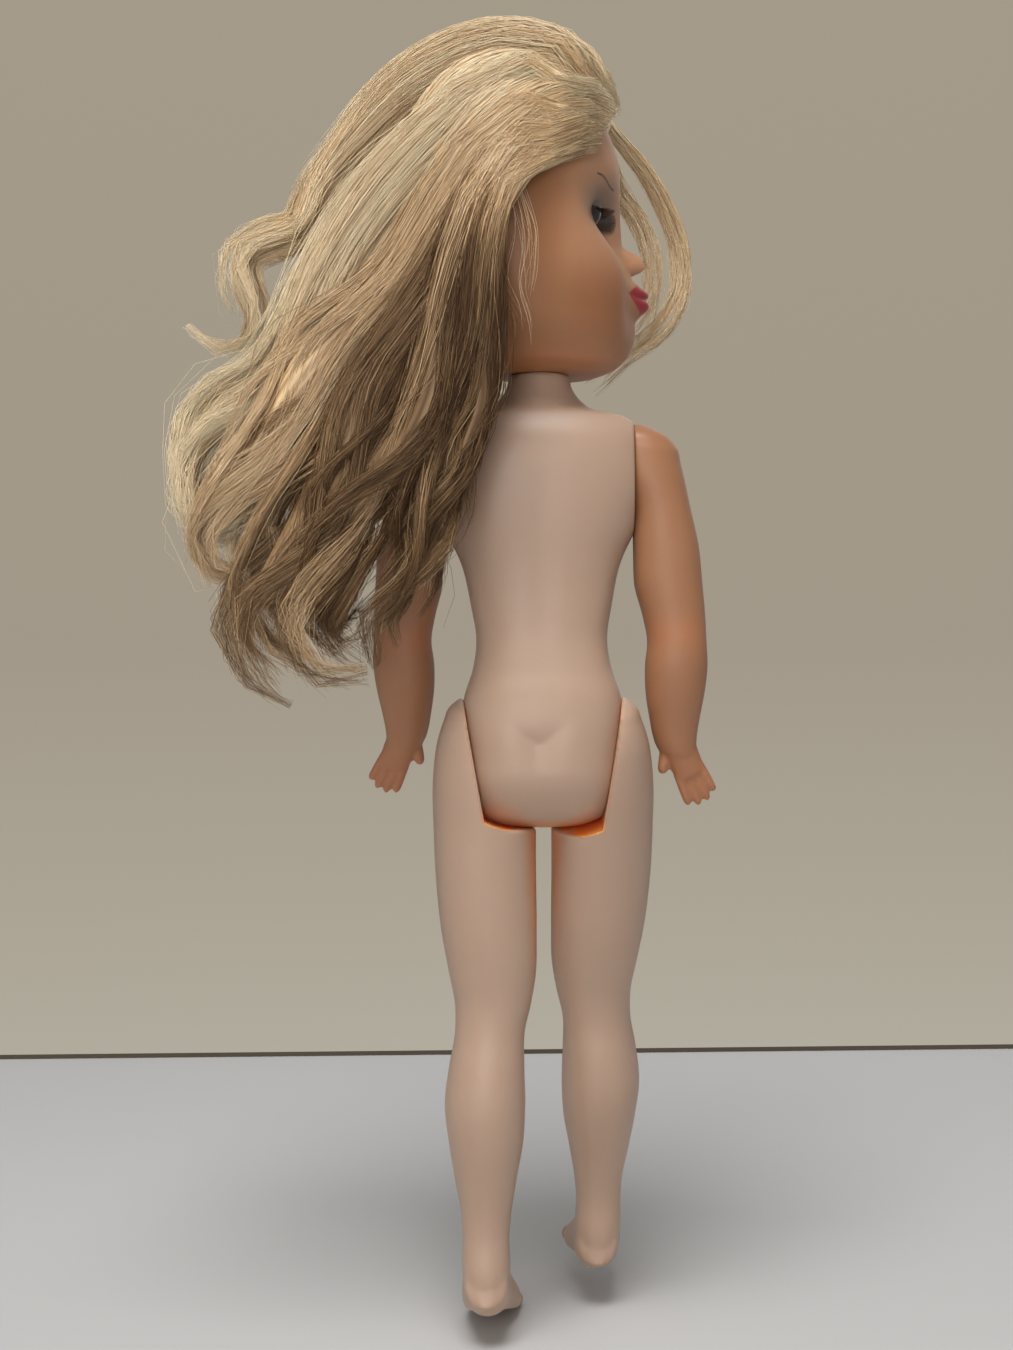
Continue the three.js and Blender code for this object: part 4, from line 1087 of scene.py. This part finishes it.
# %% Eye finish
eye_gloss = new_finish("glossy_eye")
eye_rings = eye_gloss.ramp(
    eye_gloss.value("from_middle"),
    [
        (0.0, (0.005, 0.004, 0.004)),
        (0.19, (0.005, 0.004, 0.004)),
        (0.21, (0.075, 0.05, 0.035)),
        (0.42, (0.14, 0.095, 0.07)),
        (0.47, (0.02, 0.015, 0.012)),
        (0.50, (0.36, 0.33, 0.30)),
        (0.90, (0.33, 0.30, 0.27)),
    ],
)
eye_streaks = eye_gloss.mixed(eye_gloss.noise(1500.0), (0.75, 0.75, 0.75), (1, 1, 1))
eye_colour = eye_gloss.mixed(1.0, eye_rings, eye_streaks, "MULTIPLY")
# The outer corner of the ball is painted dark: a painted shade of the lashes and lid.
eye_colour = eye_gloss.mixed(eye_gloss.value("corner"), eye_colour, (0.02, 0.016, 0.014))
eye_lid = eye_gloss.value("lid")
lid_share = eye_gloss.mapped(eye_lid, -2, 0, 0, 1)
eye_gloss.surface({
    "Base Color": eye_gloss.mixed(lid_share, eye_colour, (0.13, 0.085, 0.06)),
    "Roughness": eye_gloss.mapped(eye_lid, -2, 0, 0.12, 0.45),
})

lash_bristle = new_finish("dark_bristle")
lash_colour = lash_bristle.mixed(lash_bristle.value("tone"), (0.008, 0.005, 0.004), (0.07, 0.03, 0.02))
lash_bristle.surface({"Base Color": lash_colour, "Roughness": 0.5})
print("finishes of eyes and lashes")

# %% Strands as closed tubes


def strand_tubes(paths, thickness):
    """Three-sided closed tubes: each path point gets p + r*(cos*side + sin*up) at three angles,
    and a triangle closes each end. Paths are strands by points by 3."""
    strands, points = paths.shape[:2]
    along = unit(np.gradient(paths, axis=1))
    side = unit(np.cross(along, [0.31, 0.87, 0.38]))
    up = np.cross(along, side)
    angle = np.arange(3) * 2 * np.pi / 3
    reach = np.asarray(thickness)[..., None, None]
    around = np.cos(angle)[:, None] * side[:, :, None, :] + np.sin(angle)[:, None] * up[:, :, None, :]
    rings = paths[:, :, None, :] + reach * around
    strand, point, corner = np.meshgrid(
        np.arange(strands), np.arange(points - 1), np.arange(3), indexing="ij"
    )
    here = (strand * points + point) * 3 + corner
    after = (strand * points + point) * 3 + (corner + 1) % 3
    quads = np.stack([here, after, after + 3, here + 3], axis=-1).reshape(-1, 4)
    first = np.arange(strands)[:, None] * points * 3
    last = first + (points - 1) * 3
    ends = np.concatenate([first + np.array([2, 1, 0]), last + np.array([0, 1, 2])])
    return rings.reshape(-1, 3), quads, ends


# %% Eyeballs and lashes
ball_radius = 8.5
iris_drop, iris_tall = 3.0, 0.8
corner_shade_start, corner_shade_end = 3.4, 4.4
lash_lift = math.radians(-3)


def eyeball(side):
    """A sphere about the eye's centre: rings by the angle from the pin, which lies along x."""
    centre = eye_centre(side)
    turn = np.linspace(0.04, np.pi - 0.04, 60)[:, None]
    angle = np.linspace(0, 2 * np.pi, 90, endpoint=False)[None, :]
    x = np.cos(turn) * np.ones_like(angle)
    y = np.sin(turn) * np.cos(angle)
    z = np.sin(turn) * np.sin(angle)
    points, quads, fans = closed_skin(ball_radius * np.stack([x, y, z], axis=-1))
    from_middle = np.hypot(points[:, 0], iris_tall * (points[:, 2] + iris_drop)) / ball_radius
    from_middle = np.where(points[:, 1] < 0, from_middle, 1.0)
    lid = np.degrees(np.arctan2(points[:, 2], -points[:, 1]))
    # Painted shade at the outer corner, under the lashes and lid.
    corner = smooth_step(side * points[:, 0], corner_shade_start, corner_shade_end)
    values = {"from_middle": from_middle, "lid": lid, "corner": corner}
    return points + centre, quads, fans, values


def lashes(side):
    """Bristles fanned along the lid's edge, dipping a little and curling up towards their tips."""
    count, points = 54, 7
    spread = np.linspace(-0.9, 0.9, count) + random_source.normal(0, 0.012, count)
    share = np.linspace(0, 1, points)
    length = (3.2 + 1.4 * np.cos(spread)) * random_source.uniform(0.85, 1.05, count)
    outward = np.stack([np.sin(spread), -np.cos(spread), np.zeros(count)], axis=-1)
    root = ball_radius * np.cos(lash_lift) * outward + [0, 0, ball_radius * np.sin(lash_lift)]
    reach = length[:, None] * share
    droop = (0.45 + 0.25 * np.abs(spread))[:, None]
    rise = (0.45 * share**2 - droop * share) * length[:, None]
    paths = root[:, None, :] + reach[..., None] * outward[:, None, :]
    paths[..., 2] += rise
    thickness = np.broadcast_to(0.16 * (1 - 0.75 * share), (count, points))
    tone = np.repeat(random_source.uniform(0, 1, count), points * 3)
    return *strand_tubes(paths + eye_centre(side), thickness), {"tone": tone}


for side, label in ((1, "left"), (-1, "right")):
    points, quads, fans, values = eyeball(side)
    ball = add_piece(f"{label}_eye_ball", with_head(points), quads, fans, eye_gloss, values)
    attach(ball, f"{label}_eye")
    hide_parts(f"{label}_eyeball", f"{label}_iris")
    points, quads, fans, values = lashes(side)
    fringe = add_piece(f"{label}_eye_lashes", with_head(points), quads, fans, lash_bristle, values)
    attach(fringe, f"{label}_eye")
    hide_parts(f"{label}_eyelash")

# %% [markdown]
# ## Hair
# The hair is rooted in the scalp, combed over the crown from the right of the forehead and swept
# behind the left shoulder, where it ends in loose curls. Particle hair isn't kept by an export, so
# each strand is a thin closed tube. Strands keep a place in the oval section of a lock while the
# section slides along a guide curve; clumps pull them together and waves grow towards the tips.

# %% Hair finish
hair_fibre = new_finish("ash_blond_fibre")
hair_tone = hair_fibre.value("tone")
hair_colour = hair_fibre.ramp(
    hair_tone,
    [
        (0.0, (0.10, 0.047, 0.018)),
        (0.35, (0.44, 0.27, 0.13)),
        (0.65, (0.90, 0.64, 0.36)),
        (1.0, (1.0, 0.87, 0.61)),
    ],
)
hair_fibre.surface({
    "Base Color": hair_colour,
    "Roughness": 0.36,
    "Specular IOR Level": hair_fibre.mapped(hair_tone, 0.2, 0.7, 0.3, 1.0),
    "Sheen Weight": hair_fibre.mapped(hair_tone, 0.4, 0.85, 0.0, 0.7),
    "Sheen Roughness": 0.4,
    "Sheen Tint": (1.0, 0.82, 0.55),
})
through_hair = hair_fibre.new_node("ShaderNodeBsdfTranslucent", {"Color": hair_colour})
light_passed = 0.1
both_ways = {0: light_passed, 1: hair_fibre.shader.outputs[0], 2: through_hair.outputs[0]}
hair_mix = hair_fibre.new_node("ShaderNodeMixShader", both_ways)
hair_fibre.put(hair_fibre.nodes["Material Output"].inputs["Surface"], hair_mix.outputs[0])
print("hair finish")

# %% Guides of the locks
# Each place is sideways, backwards and up from the underside of the head, in mm.
lock_guides = {
    "crown_sweep": [
        (-24, 4, 90), (-19, 12, 99), (-7, 16, 107), (11, 14, 111), (30, 11, 107), (48, 10, 96),
        (63, 12, 78), (75, 14, 61), (81, 16, 48), (91, 18, 44), (100, 19, 39), (101, 20, 31),
        (97, 20, 23), (97, 20, 14), (103, 20, 8), (112, 20, 12), (115, 20, 17),
    ],
    "bright_band": [
        (-23, 17, 84), (-17, 24, 90), (-3, 29, 96), (15, 29, 91), (32, 28, 78), (48, 28, 61),
        (63, 27, 42), (75, 26, 24), (83, 26, 8), (92, 26, -6), (107, 26, -13), (117, 26, -24),
        (121, 25, -40), (115, 26, -52), (102, 28, -50), (97, 29, -39), (102, 30, -32),
    ],
    "third_fall": [
        (-22, 24, 79), (-13, 33, 82), (0, 38, 81), (14, 39, 72), (27, 38, 57), (39, 37, 40),
        (51, 36, 22), (65, 35, 3), (79, 34, -14), (94, 33, -30), (105, 32, -47), (111, 31, -60),
        (107, 31, -69), (97, 32, -71),
    ],
    "fourth_fall": [
        (-20, 29, 75), (-10, 38, 75), (4, 43, 69), (15, 44, 57), (25, 43, 41), (35, 41, 22),
        (45, 39, 3), (57, 37, -15), (70, 36, -32), (83, 35, -50), (91, 34, -67), (95, 33, -82),
        (87, 33, -93), (77, 33, -98),
    ],
    "fifth_fall": [
        (-16, 33, 73), (-3, 41, 71), (12, 46, 62), (21, 47, 47), (26, 46, 31), (31, 44, 14),
        (38, 42, -4), (46, 39, -22), (54, 37, -39), (63, 36, -57), (71, 35, -74), (76, 34, -89),
        (70, 34, -97), (59, 34, -97),
    ],
    "ear_fall": [
        (-8, 39, 70), (5, 44, 66), (15, 48, 54), (20, 48, 38), (23, 47, 21), (26, 45, 6),
        (31, 42, -10), (35, 39, -26), (39, 37, -42), (44, 36, -59), (49, 35, -75), (53, 35, -89),
        (48, 35, -95),
    ],
    "nape_fall": [
        (2, 42, 68), (10, 46, 58), (15, 48, 43), (17, 47, 27), (17, 46, 11), (17, 44, -2),
        (19, 42, -15), (27, 39, -28), (34, 37, -44), (37, 36, -60), (40, 36, -77),
    ],
    "cheek_wisps": [
        (12, 41, 67), (9, 43, 53), (7, 42, 38), (5, 41, 24), (5, 40, 10), (7, 39, -3),
    ],
    "back_fall": [
        (-20, 0, 96), (0, 2, 104), (22, 0, 101), (42, -4, 88), (57, -8, 68), (68, -8, 44),
        (76, -4, 20), (84, 4, -2), (93, 10, -20), (101, 14, -38), (104, 17, -54), (98, 19, -66),
    ],
    "far_upper": [
        (-23, -4, 92), (-12, -16, 101), (6, -24, 104), (26, -30, 97), (44, -34, 82), (58, -34, 62),
        (68, -28, 40), (75, -16, 18), (80, -4, -4), (86, 6, -24), (90, 12, -44), (92, 15, -62),
    ],
    "far_lower": [
        (-22, -12, 88), (-8, -28, 94), (10, -38, 90), (28, -43, 76), (42, -44, 56), (53, -38, 34),
        (62, -26, 12), (68, -12, -10), (72, 0, -32), (75, 9, -52), (77, 14, -70), (75, 16, -84),
    ],
    "far_nape": [
        (-10, -36, 78), (8, -45, 74), (22, -48, 60), (34, -46, 42), (44, -38, 24), (54, -26, 8),
        (62, -14, -8), (67, -2, -26), (70, 8, -44), (70, 16, -62), (68, 20, -80),
    ],
    "front_outer": [
        (-19, 0, 97), (-24, -10, 93), (-32, -20, 87), (-40, -28, 80), (-48, -34, 68), (-54, -37, 54),
        (-55, -37, 40), (-50, -36, 27), (-42, -35, 18), (-34, -32, 13), (-26, -26, 6), (-18, -22, 0),
    ],
    "front_inner": [
        (-21, -8, 95), (-26, -20, 84), (-31, -29, 72), (-37, -31, 64), (-41, -32, 52), (-42, -32, 42),
        (-40, -32, 29), (-36, -31, 19),
    ],
}
print(len(lock_guides), "guides")

# %% Along a guide
Wave = namedtuple("Wave", "size repeats start curl ends stray")


def along_guide(places, share):
    """Guide places joined by a smooth curve, read at shares of the guide's length."""
    places = np.array(places, float) + [0, 0, head_base]
    steps = np.linalg.norm(np.diff(places, axis=0), axis=1)
    distance = np.concatenate([[0], np.cumsum(steps)]) / steps.sum()
    rows = np.column_stack([distance, places])
    flat = np.ravel(np.clip(share, 0, 1))
    return smooth_rows(rows, flat)[:, 1:].reshape(*np.shape(share), 3)


def lock_axes(places, share):
    """Directions across a guide in the picture plane and through it."""
    step = 0.012
    along = unit(along_guide(places, share + step) - along_guide(places, share - step))
    across = unit(np.cross([0, 1, 0], along))
    return across, np.cross(along, across)


def lock_middle(places, share, across, wave):
    """The guide with a slow wave of the whole lock that grows below the crown."""
    phase = 2 * np.pi * (wave.repeats * share + wave.start)
    sway = 1.3 * wave.size * smooth_step(share, 0.2, 0.6) * np.sin(phase)
    return along_guide(places, share) + sway[..., None] * across


def lock_width(widths, share):
    """The lock's half widths, given at even shares of its length, read at other shares."""
    return np.interp(share, np.linspace(0, 1, len(widths)), widths)


def lock_tone_with_painted_shade(painted_light_and_shade, share):
    """Tone along a lock with painted light and shade: light at the roots, then the lock's painted shade,
    a little lighter at the tips.
    """
    root = max(0.75 - painted_light_and_shade, 0) * (1 - smooth_step(share, 0.1, 0.35))
    return painted_light_and_shade + 0.85 * root + 0.1 * smooth_step(share, 0.5, 0.85)


# %% Clumps and waves of the strands
clumps, stray_gain = 14, 5.0


def disc_places(angle, reach):
    """Places in a disc at an angle and a distance from its middle."""
    return np.stack([reach * np.cos(angle), reach * np.sin(angle)], axis=-1)


def clumped_places(count):
    """Strand places in a lock's section, each strand's clump, and that clump's middle. The clumps'
    middles lie on a spiral that fills the disc evenly."""
    angle = random_source.uniform(0, 2 * np.pi, count)
    place = disc_places(angle, np.sqrt(random_source.uniform(0.4, 1.1, count)))
    clump = np.arange(clumps)
    clump_place = disc_places(clump * 2.4, np.sqrt((clump + 0.5) / clumps))
    gaps = np.linalg.norm(place[:, None, :] - clump_place, axis=-1)
    member = np.argmin(gaps + random_source.normal(0, 0.12, gaps.shape), axis=1)
    return place, member, clump_place[member]


def by_clump(low, high, member):
    """One random number for each clump, handed to all of its strands."""
    return random_source.uniform(low, high, clumps)[member]


def strand_waves(share, member, wave):
    """Sideways and depth offsets: each clump's wave and ringlet, then each strand's own frizz, with
    a few strands straying further."""
    count = len(share)
    turns = wave.repeats * by_clump(0.75, 1.3, member)
    size = wave.size * by_clump(0.4, 1.5, member)
    clump_phase = by_clump(0, 1, member) + random_source.normal(0, 0.04, count)
    phase = 2 * np.pi * (turns[:, None] * share + clump_phase[:, None] + wave.start)
    grow = size[:, None] * smooth_step(share, 0.2, 0.9)
    ring_turns = by_clump(1.0, 1.9, member)[:, None]
    ring_phase = 2 * np.pi * (ring_turns * (share - 0.4) / 0.6 + clump_phase[:, None])
    ringlet = wave.curl * by_clump(0.5, 1.2, member)[:, None] * smooth_step(share, 0.36, 0.85)
    frizz = np.minimum(np.exp(random_source.normal(0, 0.7, count)), 2.2)[:, None]
    loose = 0.35 * frizz * (0.35 + smooth_step(share, 0.05, 0.7))
    jitter = random_source.normal(0, 1, (count, 6))
    first, second, fast_turns, fast_start, slow_turns, slow_start = jitter.T[:, :, None]
    fast = 2 * np.pi * (share * (2.0 + 0.8 * np.abs(fast_turns)) + fast_start)
    slow = 2 * np.pi * (share * (0.6 + 0.3 * np.abs(slow_turns)) + slow_start)
    stray = np.where(random_source.uniform(0, 1, count) < wave.stray, stray_gain, 1.0)[:, None]
    stray = stray * smooth_step(share, 0.1, 0.45)
    sway = grow * np.sin(phase) + ringlet * np.cos(ring_phase)
    sway = sway + loose * (first * np.sin(fast) + stray * second * np.sin(slow))
    depth = 0.6 * grow * np.cos(phase) + 0.6 * ringlet * np.sin(ring_phase)
    depth = depth + loose * (second * np.cos(fast) + first * np.cos(slow))
    return sway, depth


# %% Strands of one lock
# No strand goes further sideways than the limit, in mm from the doll's middle.
hair_limit = 128.0


def lock_strands(places, widths, flatness, count, painted_light_and_shade, wave, points=16):
    """p = guide + width*(u*across + flatness*v*through) + waves + ringlets + frizz. The pair (u, v)
    is the strand's place in the section. Clumps draw it towards their own middle further down the
    lock; each clump has its own wave, ringlet and length."""
    place, member, clump_middle = clumped_places(count)
    start = random_source.uniform(0, 0.05, count)
    clump_end = by_clump(wave.ends, 1.0, member)
    end = np.clip(clump_end * random_source.uniform(0.9, 1.06, count), 0, 1)
    share = start[:, None] + (end - start)[:, None] * np.linspace(0, 1, points) ** 0.75
    across, through = lock_axes(places, share)
    pull = (0.8 * smooth_step(share, 0.25, 0.75))[..., None]
    section = place[:, None, :] * (1 - pull) + clump_middle[:, None, :] * pull
    wave_sway, wave_depth = strand_waves(share, member, wave)
    width = lock_width(widths, share)
    sway = width * section[..., 0] + wave_sway
    depth = width * flatness * section[..., 1] + wave_depth
    middle = lock_middle(places, share, across, wave)
    paths = middle + sway[..., None] * across + depth[..., None] * through
    paths[..., 0] = soft_least(paths[..., 0], np.full(paths.shape[:2], hair_limit), 6.0)
    own_tone = by_clump(-0.2, 0.2, member) + random_source.normal(0, 0.14, count)
    # The tone carries painted light and shade: lower locks darker, their roots lighter.
    tone = np.clip(lock_tone_with_painted_shade(painted_light_and_shade, share) + own_tone[:, None], 0, 1)
    return paths, tone


# %% Core of one lock


def lock_core(places, widths, flatness, painted_light_and_shade, wave, sides=44, rings=64):
    """A streaked oval body inside the lock, so that the hair isn't seen through: each side has its
    own small offset and tone, and the body thins out before the curls."""
    share = np.linspace(0.02, 0.86, rings)
    across, through = lock_axes(places, share)
    thin = np.interp(share, [0, 0.1, 0.2, 0.42, 0.62, 0.86], [0.2, 0.3, 0.8, 0.8, 0.6, 0.15])
    width = (thin * lock_width(widths, share))[:, None, None]
    angle = np.linspace(0, 2 * np.pi, sides, endpoint=False)
    ridge = 1 + random_source.normal(0, 0.05, sides)
    wide = width * (ridge * np.cos(angle))[None, :, None] * across[:, None, :]
    deep = flatness * width * (ridge * np.sin(angle))[None, :, None] * through[:, None, :]
    streaks = random_source.normal(0, 0.13, sides)
    # The core's tone carries the same painted light and shade.
    tone = np.clip(0.9 * lock_tone_with_painted_shade(painted_light_and_shade, share)[:, None] + streaks, 0, 1)
    tone = np.append(tone.ravel(), [painted_light_and_shade, painted_light_and_shade])
    middle = lock_middle(places, share, across, wave)
    return closed_skin(middle[:, None, :] + wide + deep), tone


# %% Sizes and waves of the locks
# Each size is half widths from root to tip, depth as a share of width, strands and painted light and
# shade: the lower locks are painted darker, as in the shade of those above. Each wave is its size,
# repeats and start, the ringlets' size, where the first clumps end and the stray share.
lock_sizes = {
    "crown_sweep": ([6, 9, 10, 10, 9, 8, 7, 6, 4], 0.95, 1500, 0.8),
    "bright_band": ([6, 9, 11, 12, 12, 11, 10, 8, 5], 0.7, 1600, 0.95),
    "third_fall": ([5, 8, 11, 12, 13, 13, 12, 10, 6], 0.6, 1500, 0.57),
    "fourth_fall": ([5, 8, 10, 12, 13, 14, 13, 11, 7], 0.55, 1500, 0.28),
    "fifth_fall": ([5, 8, 9, 10, 11, 12, 12, 10, 7], 0.5, 1400, 0.17),
    "ear_fall": ([5, 7, 8, 8, 9, 10, 10, 9, 6], 0.45, 1100, 0.09),
    "nape_fall": ([3, 4, 5, 6, 6.5, 6.5, 6, 5, 3], 0.45, 500, 0.08),
    "cheek_wisps": ([3, 5, 7, 8, 8, 8], 0.25, 22, 0.7),
    "back_fall": ([6, 10, 12, 13, 14, 14, 13, 10, 5], 1.05, 800, 0.68),
    "far_upper": ([6, 9, 11, 12, 12, 12, 11, 9, 5], 1.05, 400, 0.6),
    "far_lower": ([6, 9, 11, 12, 11, 9, 8, 8, 5], 0.85, 400, 0.55),
    "far_nape": ([5, 8, 10, 10, 9, 8, 7, 7, 5], 0.5, 400, 0.5),
    "front_outer": ([2, 2.6, 3.4, 4, 4, 3.8, 3.2], 0.6, 240, 0.66),
    "front_inner": ([1.6, 2.4, 3.4, 3.8, 3.6, 3.2, 2.4], 0.6, 130, 0.6),
}
lock_waves = {
    "crown_sweep": Wave(1.2, 1.0, 0.1, 1.6, 0.6, 0.08),
    "bright_band": Wave(2.4, 1.4, 0.3, 4.5, 0.88, 0.08),
    "third_fall": Wave(3.4, 1.8, 0.6, 7.5, 0.88, 0.08),
    "fourth_fall": Wave(3.8, 2.0, 0.8, 8.5, 0.88, 0.08),
    "fifth_fall": Wave(3.6, 2.0, 0.2, 8.5, 0.88, 0.08),
    "ear_fall": Wave(2.4, 2.2, 0.4, 7.0, 0.8, 0.08),
    "nape_fall": Wave(2.0, 2.2, 0.7, 5.0, 0.75, 0.08),
    "cheek_wisps": Wave(2.5, 1.2, 0.0, 1.5, 0.5, 0.0),
    "back_fall": Wave(3.0, 1.5, 0.5, 7.0, 0.75, 0.08),
    "far_upper": Wave(3.0, 1.5, 0.2, 6.0, 0.75, 0.08),
    "far_lower": Wave(2.5, 1.6, 0.9, 6.0, 0.75, 0.08),
    "far_nape": Wave(2.5, 1.6, 0.4, 6.0, 0.75, 0.08),
    "front_outer": Wave(0.8, 1.0, 0.1, 1.2, 0.8, 0.0),
    "front_inner": Wave(0.8, 1.0, 0.5, 1.2, 0.8, 0.0),
}
print(len(lock_sizes), "locks")

# %% All locks
# Thin locks have finer strands, by the share given, have no core and ride with the head. The others
# keep their places in the shared frame.
thin_locks = {"front_outer": 0.65, "front_inner": 0.65, "cheek_wisps": 0.4}
stands_for = {
    "crown_sweep": ["hair_swept_curl"],
    "bright_band": ["hair_back_fall"],
    "fourth_fall": ["hair_low_fall"],
    "ear_fall": ["hair_side_fall"],
    "front_outer": ["hair_front_lock"],
}
for name, (widths, flatness, count, painted_light_and_shade) in lock_sizes.items():
    places = lock_guides[name]
    paths, tone = lock_strands(places, widths, flatness, count, painted_light_and_shade, lock_waves[name])
    taper = np.interp(np.linspace(0, 1, paths.shape[1]), [0, 0.1, 0.8, 1], [0.11, 0.15, 0.13, 0.05])
    thickness = taper * random_source.uniform(0.6, 1.2, count)[:, None]
    strands = strand_tubes(paths, thickness * thin_locks.get(name, 1.0))
    strand_tone = np.repeat(tone.ravel(), 3)
    if name in thin_locks:
        lock = add_piece(f"hair_{name}", *strands, hair_fibre, {"tone": strand_tone})
        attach(lock, "head")
    else:
        core, core_tone = lock_core(places, widths, flatness, painted_light_and_shade, lock_waves[name])
        both_tones = np.concatenate([strand_tone, core_tone])
        lock = add_piece(f"hair_{name}", *joined([strands, core]), hair_fibre, {"tone": both_tones})
        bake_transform(lock)
    if name in stands_for:
        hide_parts(*stands_for[name])

# %% [markdown]
# ## Hair against the scalp
# Under the locks the scalp is covered by close hair. A cover takes the head's own skin moved
# outwards where hair grows and tucked under the vinyl elsewhere. On it lie combed strands that fan
# out from the parting over the forehead, each along a great circle of an egg-shaped crown.

# %% Scalp cover
cap_heights = np.linspace(head_low, head_high, 120)
cap_rings = level_rings(smooth_rows(head_rows, cap_heights), 120, 0, face_power)
cap_y, cap_z = cap_rings[..., 1], cap_rings[..., 2]
behind_ear = smooth_step(cap_y, 14, 22)
hairline = level(0.70)
above_brow = smooth_step(cap_z + 0.25 * cap_y, hairline - 4, hairline + 6)
hairy = np.maximum(behind_ear * smooth_step(cap_z, level(0.06), level(0.14)), above_brow)
cap_middle = np.array([0, 5.0, level(0.5)])
cap_outward = unit(cap_rings - cap_middle)
cap_share, cap_thickness = (0.4 + 0.6 * hairy)[..., None], 3.6 * hairy[..., None]
cap_points, cap_quads, cap_fans = closed_skin(
    cap_middle + (cap_rings - cap_middle) * cap_share + cap_outward * cap_thickness
)
# The cover's tone is darker low down and lighter towards the crown: painted shade under the locks.
cap = add_piece(
    "hair_scalp_cover", with_head(cap_points), cap_quads, cap_fans, hair_fibre,
    {"tone": 0.15 + 0.45 * smooth_step(cap_points[:, 2], level(0.6), level(0.8))},
)
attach(cap, "head")
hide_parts("hair_crown")

# %% Combed strands over the crown
crown_middle = np.array([0, 10.2, level(0.52)])
crown_reach = np.array([41.6, 41.8, 57.2])
parting = unit((np.array([-10, -19, level(0.86)]) - crown_middle) / crown_reach)


def combed_strands(count, points=10):
    """Great circles d = (d0*sin(w - s) + d1*sin(s)) / sin(w) from the parting d0 to places d1 that
    run round the back of the head from right to left; p = middle + reach*d."""
    turn = np.pi * random_source.uniform(0, 1, count)
    far = np.stack(
        [-0.95 * np.cos(turn), 0.4 + 0.55 * np.sin(turn), 0.2 + 0.08 * np.sin(turn)], axis=-1
    )
    far = unit(far + random_source.normal(0, 0.03, far.shape))
    near = unit(parting + random_source.normal(0, 0.05, far.shape))
    wide = np.arccos(np.sum(near * far, axis=-1))[:, None, None]
    start = random_source.uniform(0, 0.25, count)
    end = random_source.uniform(0.7, 1.15, count)
    share = (start[:, None] + (end - start)[:, None] * np.linspace(0, 1, points))[..., None]
    ways = near[:, None, :] * np.sin(wide * (1 - share)) + far[:, None, :] * np.sin(wide * share)
    ways = unit(ways / np.sin(wide))
    lift = random_source.uniform(0.965, 1.035, count)[:, None, None]
    lift = lift + 0.012 * np.sin(7 * share + random_source.uniform(0, 6.3, count)[:, None, None])
    tone = np.clip(random_source.normal(0.8, 0.18, count), 0, 1)
    return crown_middle + crown_reach * ways * lift, tone


comb_paths, comb_tone = combed_strands(2400)
comb_taper = np.interp(np.linspace(0, 1, comb_paths.shape[1]), [0, 0.1, 0.8, 1], [0.10, 0.16, 0.15, 0.05])
comb_points, comb_quads, comb_ends = strand_tubes(
    comb_paths, comb_taper * random_source.uniform(0.7, 1.25, len(comb_paths))[:, None]
)
comb = add_piece(
    "hair_combed_crown", with_head(comb_points), comb_quads, comb_ends, hair_fibre,
    {"tone": np.repeat(comb_tone, comb_paths.shape[1] * 3)},
)
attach(comb, "head")

# %% [markdown]
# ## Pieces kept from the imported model
# The hip plugs, eye housings, pins and weights are hidden inside, and their shapes are exact
# already. They only get a finish: plain moulded plastic with a faint grain, and brushed steel.

# %% Finishes of the inner pieces
plain_moulding = new_finish("plain_moulding")
moulding_grain = plain_moulding.noise(300.0)
moulding_colour = plain_moulding.mixed(moulding_grain, (0.62, 0.57, 0.49), (0.70, 0.65, 0.57))
plain_moulding.surface({"Base Color": moulding_colour, "Roughness": 0.5})
plain_moulding.bump(moulding_grain, 0.1, 0.0003)

plain_steel = new_finish("plain_steel")
steel_grain = plain_steel.noise(700.0)
steel_colour = plain_steel.mixed(steel_grain, (0.48, 0.48, 0.49), (0.58, 0.58, 0.59))
plain_steel.surface({"Base Color": steel_colour, "Metallic": 1.0, "Roughness": 0.35})
plain_steel.bump(steel_grain, 0.1, 0.0002)

for node_name, node in frame["nodes"].items():
    finish = plain_steel if node_name.endswith(("pin", "weight")) else plain_moulding
    node.data.materials.clear()
    node.data.materials.append(finish.owner)
print("finished", len(frame["nodes"]), "packed nodes")
